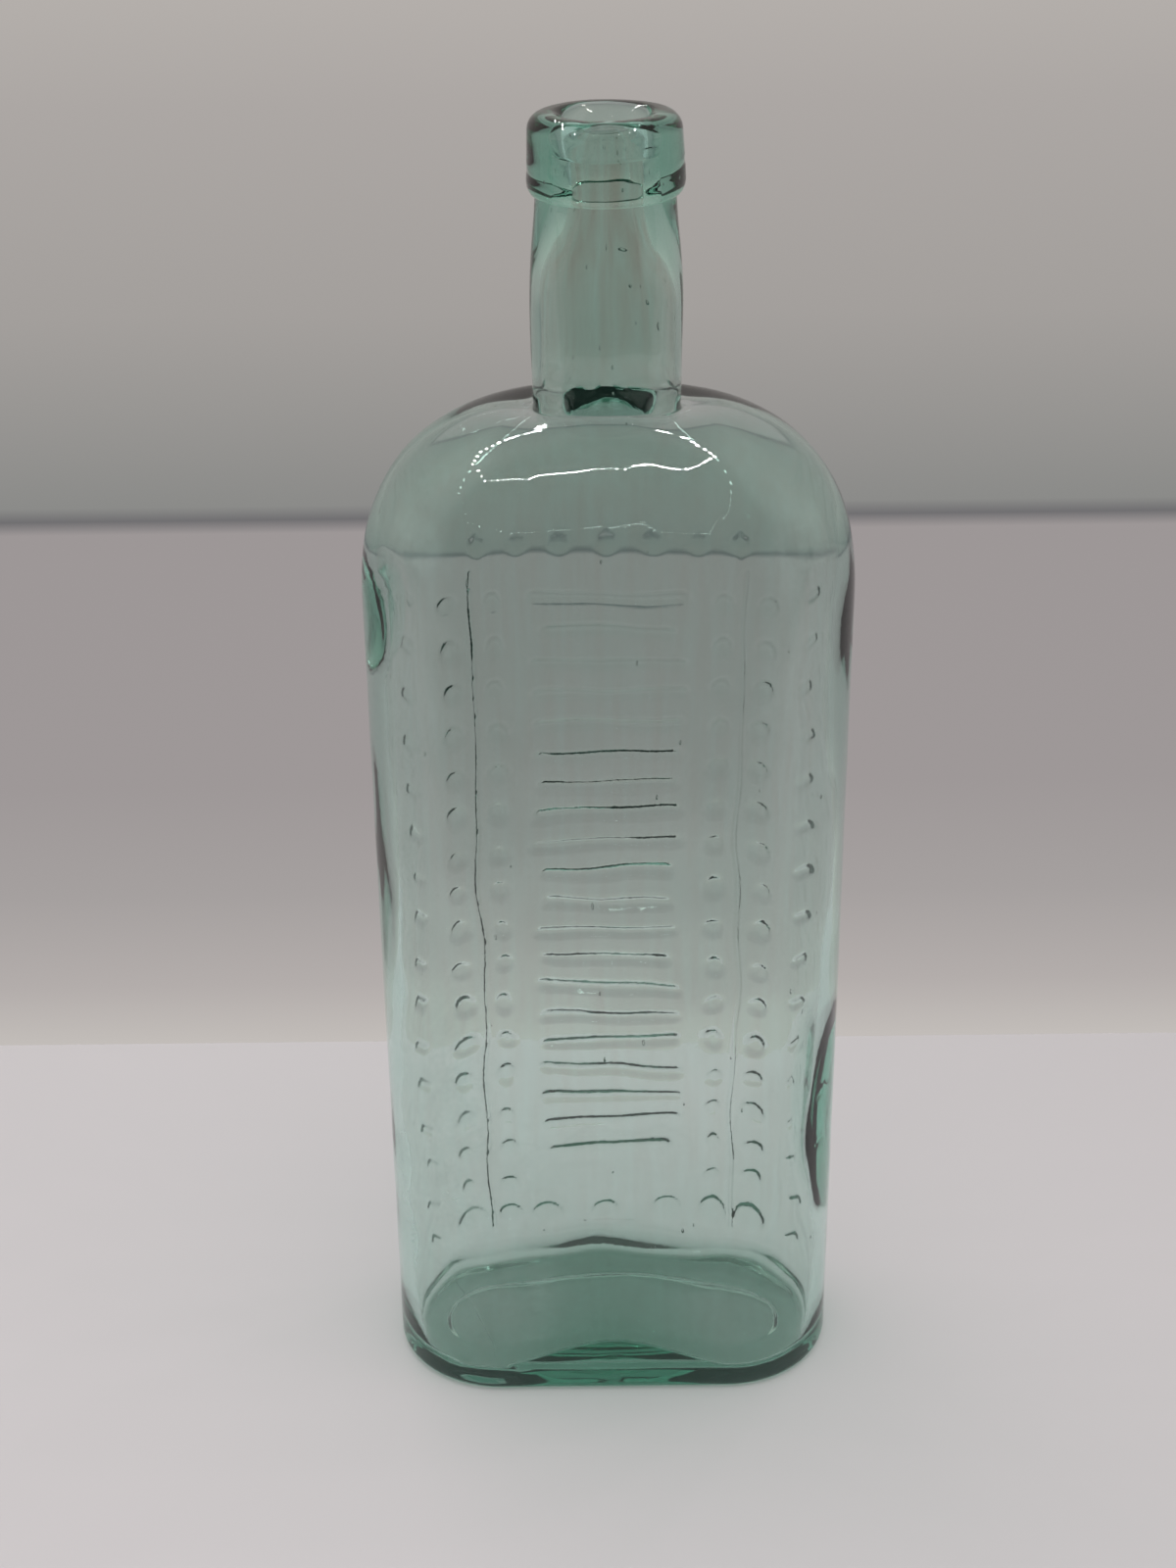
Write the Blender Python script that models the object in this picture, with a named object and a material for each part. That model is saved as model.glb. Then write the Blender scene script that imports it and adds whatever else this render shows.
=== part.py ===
"""Flat-sided poison bottle of aqua glass, blown in a mould, with a lip applied by hand.

Two pieces of glass make it. The body was blown in one mould, from base to neck, with rows of
raised dots, ribs and diamonds on its back, so that a hand in the dark knows the bottle by touch.
The lip is a second gather, laid as a ring round and over the cut end of the neck and tooled.

The bottle stands on z = 0 with its axis on Z. Its plain label side faces -Y, its raised back +Y.
"""

import math

import bmesh
import bpy
from mathutils import Vector

# Body, in metres
WIDTH = 0.083
DEPTH = 0.042
BODY_HEIGHT = 0.1883  # from the table to the foot of the neck
SHOULDER_RISE = 0.0333  # height of the rounded shoulders at the two ends
FACE_SHOULDER_RISE = 0.0205  # height of the steeper shoulders over the front and the back
BACK_BOW = 0.001  # how far the back bows out between its round ends
WALL = 0.003
NECK_FILLET = 0.0004
SADDLE = 0.001  # how much higher the neck's foot stands in front, and lower at the sides
SADDLE_REACH = 0.006
SADDLE_BLEND = 0.009

# Inside of the shoulder
CEILING_DROP = 0.0018  # from the foot of the neck down to the top of the hollow at the two ends
BACK_CEILING_DEPTH = 0.0105
FRONT_DOME_RISE = 0.0015  # how far over the neck's foot the front half of the hollow would close
BORE_FOOT_SOFT = 0.0012  # rounding between the bore and the hollow

# Base
HEEL_RADIUS = 0.002
PANEL_HALF_WIDTH = 0.0315  # the middle of the base is a sunk panel, so the bottle rests on a broad ring
PANEL_HALF_DEPTH = 0.009
PANEL_STEP = 0.0014  # height and width of the step round the panel
PANEL_RISE = 0.0022
BASE_GLASS = 0.0035
FLOOR_DOME = 0.0065  # how much higher the floor stands in its middle than at its ends
ARCH_HALF_WIDTH = 0.0245
BACK_DOME_SHARE = 0.45  # the dome is lower behind
FRONT_FILLET = 0.0014  # rounding between the floor and the front wall inside
BACK_FILLET = 0.005

# Neck and bore
NECK_LENGTH = 0.0334  # from the body to the lower edge of the lip
NECK_FOOT_RADIUS = 0.0121
NECK_BELLY_RADIUS = 0.0124
NECK_TOP_RADIUS = 0.0111
NECK_BELLY_RISE = 0.0147
THROAT_RADIUS = 0.0056
THROAT_FOOT_RISE = 0.001  # how far over the lower edge of the lip the bore begins to widen
BORE_FLARE = 0.018  # height over which it widens
BORE_HALF_WIDTH = 0.0093
BORE_HALF_DEPTH = 0.0068

# Applied lip
LIP_HEIGHT = 0.0126
LIP_SWELL = 0.0004  # how much thicker the lip is at its lower edge than at its top
LIP_THICKNESS = 0.0006  # least glass of the lip beside the neck
LIP_FOOT_ROUND = 0.0024
LIP_TOP_ROUND = 0.0026
MOUTH_RADIUS = 0.0061
MOUTH_FLARE = 0.0024  # how much wider the mouth opens at the very top
MOUTH_FLARE_DEPTH = 0.0034
RIM_DEPTH = 0.0066  # from the top of the lip down to the end of the neck inside it
LIP_GAP = 0.0003  # clearance between the two gathers

# Raised pattern on the back
RELIEF = 0.0006
RELIEF_ROOT = 0.001  # how deep each raised shape reaches into the wall
DOT_RADIUS = 0.0023
BASE_DOT_RADIUS = 0.003
DOT_PITCH = 0.0083
PATTERN_FOOT = 0.0125  # height of the lowest row of dots
PATTERN_TOP_MARGIN = 0.003  # bare wall between the columns and the shoulder
RIB_PITCH = 0.0062
RIB_FOOT = 0.0285
RIB_WIDTH = 0.0021
RIDGE_WIDTH = 0.0011
RIDGE_FOOT = 0.009
RIDGE_WAVE = 0.0005  # how far the two upright ridges wander from a straight line
DASH_LENGTH = 0.0066
DASH_WIDTH = 0.0019
DASH_PITCH = 0.0092
DASH_SLANT_DEGREES = 38.0
DIAMOND_WIDTH = 0.0052
DIAMOND_HEIGHT = 0.0092
TOP_ROW_RISE = 0.0048  # height of the diamonds' middle over the start of the shoulder

# Places across the back, as shares of the way from its middle to its outermost point
INNER_DOTS_SHARE = 0.39
RIDGE_SHARE = 0.475
OUTER_DOTS_SHARE = 0.56
DASH_SHARE = 0.775
RIB_HALF_LENGTH_SHARE = 0.265
TOP_ROW_SHARES = (-0.45, -0.3, -0.15, 0.0, 0.15, 0.3, 0.45)
BASE_DOT_SHARES = (-0.39, -0.23, -0.075, 0.075, 0.23, 0.39, 0.56, -0.56)

# Shapes of the curves
SHOULDER_POWER = 2.3  # 2 is an ellipse, and more is squarer
FACE_POWER = 2
FRONT_DOME_POWER = 1.6
CREST_SHARE = 0.55  # size of a raised shape's flat top beside its foot
WAVES_PER_RIDGE = 3

# Facets
END_FACETS = 16
FACE_FACETS = 5
RING_POINTS = 2 * (END_FACETS + FACE_FACETS)
SHOULDER_RINGS = 8
NECK_RINGS = 3
BORE_RINGS = 6
PANEL_RINGS = 3
HEEL_RINGS = 3
FLOOR_RINGS = 4
RIDGE_PIECES = 9
DOT_SIDES = 8
BAR_END_FACETS = 2
LIP_ROUND_FACETS = 3

AQUA = (0.30, 0.60, 0.52, 1.0)
GLASS_ROUGHNESS = 0.05
GLASS_IOR = 1.5
GLASS_TRANSMISSION = 0.6
SMOOTH_ANGLE = math.radians(35)

# Heights and sizes worked out from the ones above
HALF_WIDTH = WIDTH / 2
HALF_DEPTH = DEPTH / 2
BACK_HALF_DEPTH = HALF_DEPTH - RELIEF / 2  # the relief belongs to the depth
SHOULDER_START = BODY_HEIGHT - SHOULDER_RISE
LIP_FOOT = BODY_HEIGHT + NECK_LENGTH
HEIGHT = LIP_FOOT + LIP_HEIGHT
RIM = HEIGHT - RIM_DEPTH
THROAT_FOOT = LIP_FOOT + THROAT_FOOT_RISE
INNER_TOP = BODY_HEIGHT - CEILING_DROP
FACE_SHOULDER_START = BODY_HEIGHT - FACE_SHOULDER_RISE
INNER_HALF_WIDTH = HALF_WIDTH - WALL
INNER_HALF_DEPTH = BACK_HALF_DEPTH - WALL


def mix(low, high, share):
    return low + (high - low) * share


def outline(half_width, half_depth, bow):
    """One level of the body: flat in front, round at both ends and bowed at the back.

    The points run round from the right end of the flat front, and y is 0 in mid depth.
    """
    end_radius = half_depth - bow / 2
    half_flat = max(half_width - end_radius, 0.0)
    points = []
    for side in (1, -1):
        for step in range(END_FACETS + 1):
            turn = side * (math.pi * step / END_FACETS - math.pi / 2)
            x = side * (half_flat + end_radius * math.cos(turn))
            points.append([x, end_radius * math.sin(turn)])
        for step in range(1, FACE_FACETS):
            points.append([side * mix(half_flat, -half_flat, step / FACE_FACETS), side * end_radius])
    for point in points:
        if point[1] > 0:
            point[1] += bow * (1 - (point[0] / half_width) ** 2)
        point[1] -= bow / 2
    return points


def ring(half_width, half_depth, height, roundness=0.0):
    """One level as vectors. roundness goes from 0 on the body to 1 on the neck, which is an ellipse."""
    bow = BACK_BOW * (1 - roundness)
    shift = (BACK_HALF_DEPTH - HALF_DEPTH) * (1 - roundness)
    points = []
    for index, (x, y) in enumerate(outline(half_width, half_depth, bow)):
        angle = 2 * math.pi * (index - END_FACETS / 2) / RING_POINTS
        x = mix(x, half_width * math.cos(angle), roundness)
        y = mix(y, half_depth * math.sin(angle), roundness)
        points.append(Vector((x, y + shift, height)))
    return points


def flank(height, bottom, top, outer, inner, power):
    """Half size at a height of a shoulder that is outer at its bottom and inner at its top."""
    climb = min(max((height - bottom) / (top - bottom), 0.0), 1.0)
    return mix(inner, outer, (1 - climb**power) ** (1 / power))


def shoulder_heights(top):
    """Heights from the start of the shoulder to its top, closer together where it turns over."""
    heights = []
    for step in range(SHOULDER_RINGS + 1):
        turn = math.pi / 2 * step / SHOULDER_RINGS
        heights.append(mix(SHOULDER_START, top, math.sin(turn) ** (2 / SHOULDER_POWER)))
    return heights


def saddled(points):
    """The shoulder climbs further up the neck in front than behind, and least at the sides."""
    for point in points:
        spread = math.hypot(point.x, point.y)
        lift = SADDLE * ((2 if point.y < 0 else 1) * (point.y / spread) ** 2 - 1)
        over_neck = min(max(1 - (point.z - BODY_HEIGHT) / SADDLE_BLEND, 0.0), 1.0) ** 2
        beyond = max(spread - NECK_FOOT_RADIUS, 0.0) / SADDLE_REACH
        point.z += lift * over_neck * math.exp(-(beyond**2))
    return points


def shoulder_ring(height):
    foot = NECK_FOOT_RADIUS + NECK_FILLET
    half_width = flank(height, SHOULDER_START, BODY_HEIGHT, HALF_WIDTH, foot, SHOULDER_POWER)
    half_depth = flank(height, FACE_SHOULDER_START, BODY_HEIGHT, BACK_HALF_DEPTH, foot, FACE_POWER)
    roundness = ((HALF_WIDTH - half_width) / (HALF_WIDTH - foot)) ** 2
    return saddled(ring(half_width, half_depth, height, roundness))


def bore_at(height):
    """Half width and half depth of the bore: narrow and round in the lip, a wide oval below it."""
    descent = min(max((THROAT_FOOT - height) / BORE_FLARE, 0.0), 1.0)
    widening = math.sin(math.pi / 2 * descent) ** 2
    half_width = mix(THROAT_RADIUS, BORE_HALF_WIDTH, widening)
    return half_width, mix(THROAT_RADIUS, BORE_HALF_DEPTH, widening)


def soft_max(one, other):
    """The larger of two radii, with a soft change from one to the other."""
    return (one + other + math.hypot(one - other, BORE_FOOT_SOFT)) / 2


def inner_ring(height):
    """The hollow at a height: the bore, the domed shoulder, or where one opens into the other."""
    bore_wide, bore_deep = bore_at(height)
    wide = flank(height, SHOULDER_START, INNER_TOP, INNER_HALF_WIDTH, 0.0, SHOULDER_POWER)
    dome_top = BODY_HEIGHT + FRONT_DOME_RISE
    before = flank(height, FACE_SHOULDER_START, dome_top, INNER_HALF_DEPTH, 0.0, FRONT_DOME_POWER)
    ceiling = BACK_CEILING_DEPTH if height <= INNER_TOP else 0.0
    behind = flank(height, FACE_SHOULDER_START, INNER_TOP, INNER_HALF_DEPTH, ceiling, FACE_POWER)
    roundness = min((INNER_HALF_WIDTH - wide) / (INNER_HALF_WIDTH - bore_wide), 1.0) ** 2
    points = ring(soft_max(bore_wide, wide), soft_max(bore_deep, behind), height, roundness)
    for point in points:
        if point.y < 0:
            point.y *= soft_max(bore_deep, before) / soft_max(bore_deep, behind)
    return points


def neck_ring(radius, height):
    return ring(radius, radius, height, 1.0)


def neck_radius_at(height):
    """The neck swells from its foot to a belly and then draws in under the lip."""
    belly = BODY_HEIGHT + NECK_BELLY_RISE
    if height < belly:
        share = (height - BODY_HEIGHT) / NECK_BELLY_RISE
        return mix(NECK_FOOT_RADIUS, NECK_BELLY_RADIUS, math.sin(math.pi / 2 * max(share, 0.0)))
    share = min((height - belly) / (LIP_FOOT - belly), 1.0)
    return mix(NECK_TOP_RADIUS, NECK_BELLY_RADIUS, math.cos(math.pi / 2 * share))


def underside_rings():
    """From the middle of the base over the sunk panel and down the step round it."""
    rings = []
    for step in range(1, PANEL_RINGS + 1):
        share = step / PANEL_RINGS
        height = mix(PANEL_RISE, PANEL_STEP, share**2)
        rings.append(ring(PANEL_HALF_WIDTH * share, PANEL_HALF_DEPTH * share, height))
    rings.append(ring(PANEL_HALF_WIDTH + PANEL_STEP, PANEL_HALF_DEPTH + PANEL_STEP, 0.0))
    return rings


def heel_rings():
    """The ledge's outer edge and the rounding up to the wall."""
    rings = []
    for step in range(HEEL_RINGS + 1):
        turn = math.pi / 2 * step / HEEL_RINGS
        inset = HEEL_RADIUS * (1 - math.sin(turn))
        height = HEEL_RADIUS * (1 - math.cos(turn))
        rings.append(ring(HALF_WIDTH - inset, BACK_HALF_DEPTH - inset, height))
    return rings


def neck_rings():
    """The neck's outside, from the fillet at its foot to its rim."""
    rings = []
    start = BODY_HEIGHT + NECK_FILLET
    belly = BODY_HEIGHT + NECK_BELLY_RISE
    for low, high in ((start, belly), (belly, LIP_FOOT)):
        for step in range(NECK_RINGS):
            height = mix(low, high, step / NECK_RINGS)
            rings.append(saddled(neck_ring(neck_radius_at(height), height)))
    rings.append(neck_ring(NECK_TOP_RADIUS, LIP_FOOT))
    rings.append(neck_ring(NECK_TOP_RADIUS, RIM))
    return rings


def bore_rings():
    """The bore from the rim down, straight in the lip and then wider, and the shoulder's hollow."""
    heights = [RIM]
    for step in range(BORE_RINGS):
        heights.append(mix(THROAT_FOOT, INNER_TOP, step / BORE_RINGS))
    return [inner_ring(height) for height in heights + shoulder_heights(INNER_TOP)[::-1]]


def floor_height(point):
    """Height of the inside floor, arched like a bridge from end to end, and most of all in front."""
    arch = math.cos(math.pi / 2 * min(abs(point.x) / ARCH_HALF_WIDTH, 1.0)) ** 2
    return BASE_GLASS + FLOOR_DOME * arch * mix(1.0, BACK_DOME_SHARE, (1 + point.y / HALF_DEPTH) / 2)


def floor_rings():
    """The rounding at the foot of the inner wall, tight in front and broad behind, and the floor."""
    rings = []
    walls = ring(INNER_HALF_WIDTH, INNER_HALF_DEPTH, 0.0)
    middle = BACK_HALF_DEPTH - HALF_DEPTH
    for step in range(HEEL_RINGS + 1):
        turn = math.pi / 2 * step / HEEL_RINGS
        points = []
        for wall in walls:
            fillet = mix(FRONT_FILLET, BACK_FILLET, (1 + (wall.y - middle) / INNER_HALF_DEPTH) / 2)
            inset = fillet * (1 - math.cos(turn))
            x = wall.x * (1 - inset / INNER_HALF_WIDTH)
            y = middle + (wall.y - middle) * (1 - inset / INNER_HALF_DEPTH)
            point = Vector((x, y, 0.0))
            point.z = floor_height(point) + fillet * (1 - math.sin(turn))
            points.append(point)
        rings.append(points)
    edge = rings[-1]
    for step in range(FLOOR_RINGS - 1, 0, -1):
        share = step / FLOOR_RINGS
        points = [Vector((point.x * share, mix(middle, point.y, share), 0.0)) for point in edge]
        for point in points:
            point.z = floor_height(point)
        rings.append(points)
    return rings


def loft(rings, first_pole=None, last_pole=None, closed_loop=False):
    """A closed skin through rings of equally many points, ended by poles or closed on itself."""
    mesh = bmesh.new()
    levels = [[mesh.verts.new(point) for point in points] for points in rings]
    pairs = list(zip(levels, levels[1:]))
    if closed_loop:
        pairs.append((levels[-1], levels[0]))
    for low, high in pairs:
        for index in range(len(low)):
            after = (index + 1) % len(low)
            mesh.faces.new((low[index], low[after], high[after], high[index]))
    for pole, level in ((first_pole, levels[0]), (last_pole, levels[-1])):
        if pole is None:
            continue
        tip = mesh.verts.new(pole)
        for index in range(len(level)):
            mesh.faces.new((tip, level[index], level[(index + 1) % len(level)]))
    bmesh.ops.recalc_face_normals(mesh, faces=mesh.faces)
    return mesh


def back_point(girth, height):
    """Point and outward normal on the back wall. girth runs from its middle towards +X, along the wall."""
    end_radius = BACK_HALF_DEPTH - BACK_BOW / 2
    half_flat = HALF_WIDTH - end_radius
    beyond = max(abs(girth) - half_flat, 0.0) / end_radius
    side = math.copysign(1.0, girth)
    x = side * (min(abs(girth), half_flat) + end_radius * math.sin(beyond))
    y = end_radius * math.cos(beyond) - BACK_BOW / 2 + BACK_BOW * (1 - (x / HALF_WIDTH) ** 2)
    slope = BACK_BOW * 2 * x / HALF_WIDTH**2
    normal = Vector((side * math.sin(beyond) + slope, math.cos(beyond), 0.0)).normalized()
    narrowing = flank(height, SHOULDER_START, BODY_HEIGHT, HALF_WIDTH, NECK_FOOT_RADIUS, SHOULDER_POWER)
    shift = BACK_HALF_DEPTH - HALF_DEPTH
    return Vector((x * narrowing / HALF_WIDTH, y + shift, height)), normal


def half_girth():
    """Length of the back wall from its middle to the outermost point of an end."""
    end_radius = BACK_HALF_DEPTH - BACK_BOW / 2
    return HALF_WIDTH - end_radius + end_radius * math.pi / 2


def raised(mesh, flat_points, girth, height, crest_share=CREST_SHARE):
    """Adds one raised shape, whose outline is given round its own middle, to mesh."""
    levels = []
    for lift, share in ((-RELIEF_ROOT, 1.0), (RELIEF, crest_share)):
        level = []
        for across, up in flat_points:
            point, normal = back_point(girth + across * share, height + up * share)
            level.append(mesh.verts.new(point + normal * lift))
        levels.append(level)
    root, crest = levels
    for index in range(len(root)):
        after = (index + 1) % len(root)
        mesh.faces.new((root[index], root[after], crest[after], crest[index]))
    mesh.faces.new(root)
    mesh.faces.new(crest)


def round_outline(radius):
    points = []
    for step in range(DOT_SIDES):
        turn = 2 * math.pi * (step + 0.5) / DOT_SIDES
        points.append((radius * math.cos(turn), radius * math.sin(turn)))
    return points


def bar_outline(length, width, slant=0.0):
    """A bar with round ends, turned by slant."""
    points = []
    for side in (1, -1):
        for step in range(BAR_END_FACETS + 1):
            turn = math.pi * (step / BAR_END_FACETS - 0.5)
            along = side * ((length - width) / 2 + width / 2 * math.cos(turn))
            over = side * width / 2 * math.sin(turn)
            x = along * math.cos(slant) - over * math.sin(slant)
            z = along * math.sin(slant) + over * math.cos(slant)
            points.append((x, z))
    return points


def rows(first, last, pitch):
    """Heights of a column from first up to last, pitch apart."""
    return [first + pitch * step for step in range(int((last - first) / pitch) + 1)]


def dots(mesh):
    """Two columns of dots on each side, and a row of larger dots along the foot."""
    girth = half_girth()
    for share in BASE_DOT_SHARES:
        raised(mesh, round_outline(BASE_DOT_RADIUS), girth * share, PATTERN_FOOT)
    first = PATTERN_FOOT + DOT_PITCH
    for share in (INNER_DOTS_SHARE, OUTER_DOTS_SHARE):
        for height in rows(first, SHOULDER_START - PATTERN_TOP_MARGIN, DOT_PITCH):
            for side in (1, -1):
                raised(mesh, round_outline(DOT_RADIUS), side * girth * share, height)


def ribs(mesh):
    """A ladder of level ribs up the middle."""
    half_length = half_girth() * RIB_HALF_LENGTH_SHARE
    for height in rows(RIB_FOOT, SHOULDER_START - PATTERN_TOP_MARGIN, RIB_PITCH):
        raised(mesh, bar_outline(2 * half_length, RIB_WIDTH), 0.0, height)


def dashes(mesh):
    """Slanted dashes up the two round corners."""
    slant = math.radians(DASH_SLANT_DEGREES)
    for height in rows(PATTERN_FOOT, SHOULDER_START - PATTERN_TOP_MARGIN, DASH_PITCH):
        for side in (1, -1):
            flat_points = bar_outline(DASH_LENGTH, DASH_WIDTH, side * slant)
            raised(mesh, flat_points, side * half_girth() * DASH_SHARE, height)


def diamonds(mesh):
    """A row of diamonds over the rest, where the shoulder begins."""
    across = DIAMOND_WIDTH / 2
    up = DIAMOND_HEIGHT / 2
    flat_points = [(across, 0), (0, up), (-across, 0), (0, -up)]
    for share in TOP_ROW_SHARES:
        raised(mesh, flat_points, half_girth() * share, SHOULDER_START + TOP_ROW_RISE)


def ridges(mesh):
    """The two upright ridges between the columns of dots, which wander a little."""
    top = SHOULDER_START - PATTERN_TOP_MARGIN
    for side in (1, -1):
        levels = []
        for step in range(RIDGE_PIECES + 1):
            height = mix(RIDGE_FOOT, top, step / RIDGE_PIECES)
            wander = RIDGE_WAVE * math.sin(2 * math.pi * WAVES_PER_RIDGE * step / RIDGE_PIECES)
            middle = side * (half_girth() * RIDGE_SHARE + wander)
            level = []
            for across, lift in (
                (-RIDGE_WIDTH / 2, -RELIEF_ROOT),
                (-RIDGE_WIDTH / 2 * CREST_SHARE, RELIEF),
                (RIDGE_WIDTH / 2 * CREST_SHARE, RELIEF),
                (RIDGE_WIDTH / 2, -RELIEF_ROOT),
            ):
                point, normal = back_point(middle + across, height)
                level.append(mesh.verts.new(point + normal * lift))
            levels.append(level)
        for low, high in zip(levels, levels[1:]):
            for index in range(len(low)):
                after = (index + 1) % len(low)
                mesh.faces.new((low[index], low[after], high[after], high[index]))
        mesh.faces.new(levels[0])
        mesh.faces.new(levels[-1])


def glass_material(name):
    material = bpy.data.materials.new(name)
    material.use_nodes = True
    shader = material.node_tree.nodes["Principled BSDF"]
    shader.inputs["Base Color"].default_value = AQUA
    shader.inputs["Roughness"].default_value = GLASS_ROUGHNESS
    shader.inputs["Metallic"].default_value = 0.0
    shader.inputs["IOR"].default_value = GLASS_IOR
    shader.inputs["Transmission Weight"].default_value = GLASS_TRANSMISSION
    return material


def object_from(mesh, name, material, parent=None):
    bmesh.ops.triangulate(mesh, faces=mesh.faces)
    data = bpy.data.meshes.new(name)
    mesh.to_mesh(data)
    mesh.free()
    data.shade_smooth()
    data.set_sharp_from_angle(angle=SMOOTH_ANGLE)
    data.materials.append(material)
    piece = bpy.data.objects.new(name, data)
    piece.parent = parent
    bpy.context.scene.collection.objects.link(piece)
    return piece


def glass_body(material, parent):
    """The blown body as one skin, from the middle of the underside up, over the rim and down inside."""
    shoulder = [shoulder_ring(height) for height in shoulder_heights(BODY_HEIGHT)]
    outside = underside_rings() + heel_rings() + shoulder + neck_rings()
    inside = bore_rings() + floor_rings()
    middle = BACK_HALF_DEPTH - HALF_DEPTH
    under_pole = (0.0, middle, PANEL_RISE)
    floor_pole = Vector((0.0, middle, 0.0))
    floor_pole.z = floor_height(floor_pole)
    body = object_from(loft(outside + inside, under_pole, floor_pole), "glass_body", material, parent)

    pattern = bmesh.new()
    for add in (dots, ribs, dashes, diamonds, ridges):
        add(pattern)
    bmesh.ops.recalc_face_normals(pattern, faces=pattern.faces)
    raised_shapes = object_from(pattern, "raised_shapes", material, parent)
    raised_shapes.hide_render = True
    raised_shapes.display_type = "WIRE"
    join = body.modifiers.new("raised pattern", "BOOLEAN")
    join.operation = "UNION"
    join.solver = "EXACT"
    join.object = raised_shapes
    return body


def lip_profile():
    """Radius and height round the lip's section, from the lower edge beside the neck outwards."""
    inner = NECK_TOP_RADIUS + LIP_GAP
    top_radius = inner + LIP_THICKNESS
    foot_radius = top_radius + LIP_SWELL
    points = [(inner, LIP_FOOT)]
    quarter_turns = [math.pi / 2 * step / LIP_ROUND_FACETS for step in range(LIP_ROUND_FACETS + 1)]
    for turn in quarter_turns[1:]:
        radius = mix(inner, foot_radius, math.sin(turn))
        points.append((radius, LIP_FOOT + LIP_FOOT_ROUND * (1 - math.cos(turn))))
    flare_radius = MOUTH_RADIUS + MOUTH_FLARE
    top_round = min(LIP_TOP_ROUND, top_radius - flare_radius)
    for turn in quarter_turns:
        radius = top_radius - top_round * (1 - math.cos(turn))
        points.append((radius, HEIGHT - LIP_TOP_ROUND * (1 - math.sin(turn))))
    for turn in quarter_turns:
        radius = flare_radius - MOUTH_FLARE * math.sin(turn)
        points.append((radius, HEIGHT - MOUTH_FLARE_DEPTH * (1 - math.cos(turn))))
    seat = RIM + LIP_GAP
    points.append((THROAT_RADIUS, seat))
    points.append((inner, seat))
    return points


def applied_lip(material, parent):
    """The lip as a turned ring. Its own origin is on the bottle's axis at its lower edge."""
    rings = []
    for radius, height in lip_profile():
        rings.append(neck_ring(radius, height - LIP_FOOT))
    lip = object_from(loft(rings, closed_loop=True), "applied_lip", material, parent)
    lip.location = (0.0, 0.0, LIP_FOOT)
    return lip


def main():
    for old in list(bpy.data.objects):
        bpy.data.objects.remove(old)
    bottle = bpy.data.objects.new("poison_bottle", None)
    bpy.context.scene.collection.objects.link(bottle)
    glass_body(glass_material("aqua mould-blown glass"), bottle)
    applied_lip(glass_material("aqua applied-lip glass"), bottle)
    bpy.context.view_layer.update()


main()
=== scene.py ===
# %% [markdown]
# A flat-sided poison bottle of aqua glass.
#
# On the real object, one bubble of hot glass was blown into a mould that pressed rows of dots, ribs
# and diamonds into its back, and a second gather was laid round the cut neck as a lip. Nothing on it
# is painted: all of its colour is iron in the glass, and all of its detail is shape. So this lesson
# spends its effort on two closed skins of glass, and on what light does on its way through them.
#
# The frame comes first. It gives the measured solids that every piece here has to fit.

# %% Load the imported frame
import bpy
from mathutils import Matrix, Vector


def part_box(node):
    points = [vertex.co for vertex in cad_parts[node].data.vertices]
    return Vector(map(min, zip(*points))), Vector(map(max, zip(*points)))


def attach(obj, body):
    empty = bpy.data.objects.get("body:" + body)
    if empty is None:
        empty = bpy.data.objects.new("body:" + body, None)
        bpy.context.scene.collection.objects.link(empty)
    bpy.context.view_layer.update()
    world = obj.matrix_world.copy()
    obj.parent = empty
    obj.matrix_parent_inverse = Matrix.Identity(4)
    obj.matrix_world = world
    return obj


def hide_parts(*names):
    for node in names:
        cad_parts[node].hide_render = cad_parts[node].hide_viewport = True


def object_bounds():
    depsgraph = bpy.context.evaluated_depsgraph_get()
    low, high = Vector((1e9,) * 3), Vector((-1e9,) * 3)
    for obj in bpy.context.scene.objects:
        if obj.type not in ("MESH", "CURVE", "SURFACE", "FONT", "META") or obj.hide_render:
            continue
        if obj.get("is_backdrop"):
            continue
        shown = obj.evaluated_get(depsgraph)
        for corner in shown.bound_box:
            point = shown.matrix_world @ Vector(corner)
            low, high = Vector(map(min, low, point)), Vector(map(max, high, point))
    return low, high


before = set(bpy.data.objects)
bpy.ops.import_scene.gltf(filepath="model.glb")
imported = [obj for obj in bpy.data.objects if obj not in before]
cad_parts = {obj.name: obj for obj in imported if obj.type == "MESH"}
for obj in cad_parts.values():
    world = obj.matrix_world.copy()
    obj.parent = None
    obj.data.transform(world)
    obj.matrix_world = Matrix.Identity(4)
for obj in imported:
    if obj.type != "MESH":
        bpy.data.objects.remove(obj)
cad_box = [list(corner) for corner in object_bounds()]

import math

import bpy
import numpy as np
from mathutils import Matrix

MM = 0.001
body_low, body_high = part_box("glass_body")
lip_low, lip_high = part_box("applied_lip")
print("the bottle's box in mm:", [[round(value / MM, 1) for value in corner] for corner in cad_box])

# %% [markdown]
# A few helpers serve every material below. Colours are picked from ordinary screens, which
# store them in sRGB, while Blender mixes light in linear values, so one function converts them. Another
# adds a node, sets its settings and sockets, and links what is already a socket. The rest are short
# names for what the materials do most: work out a number, stretch a range, and mix two shaders, above
# all by the kind of ray, because clear glass shows each kind of ray something else.

# %% Colours and nodes
def srgb(code):
    """The linear colour of an sRGB hex value such as "c8c2c3"."""
    parts = [int(code[start:start + 2], 16) / 255 for start in (0, 2, 4)]
    linear = [part / 12.92 if part <= 0.04045 else ((part + 0.055) / 1.055) ** 2.4 for part in parts]
    return (*linear, 1.0)


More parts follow.
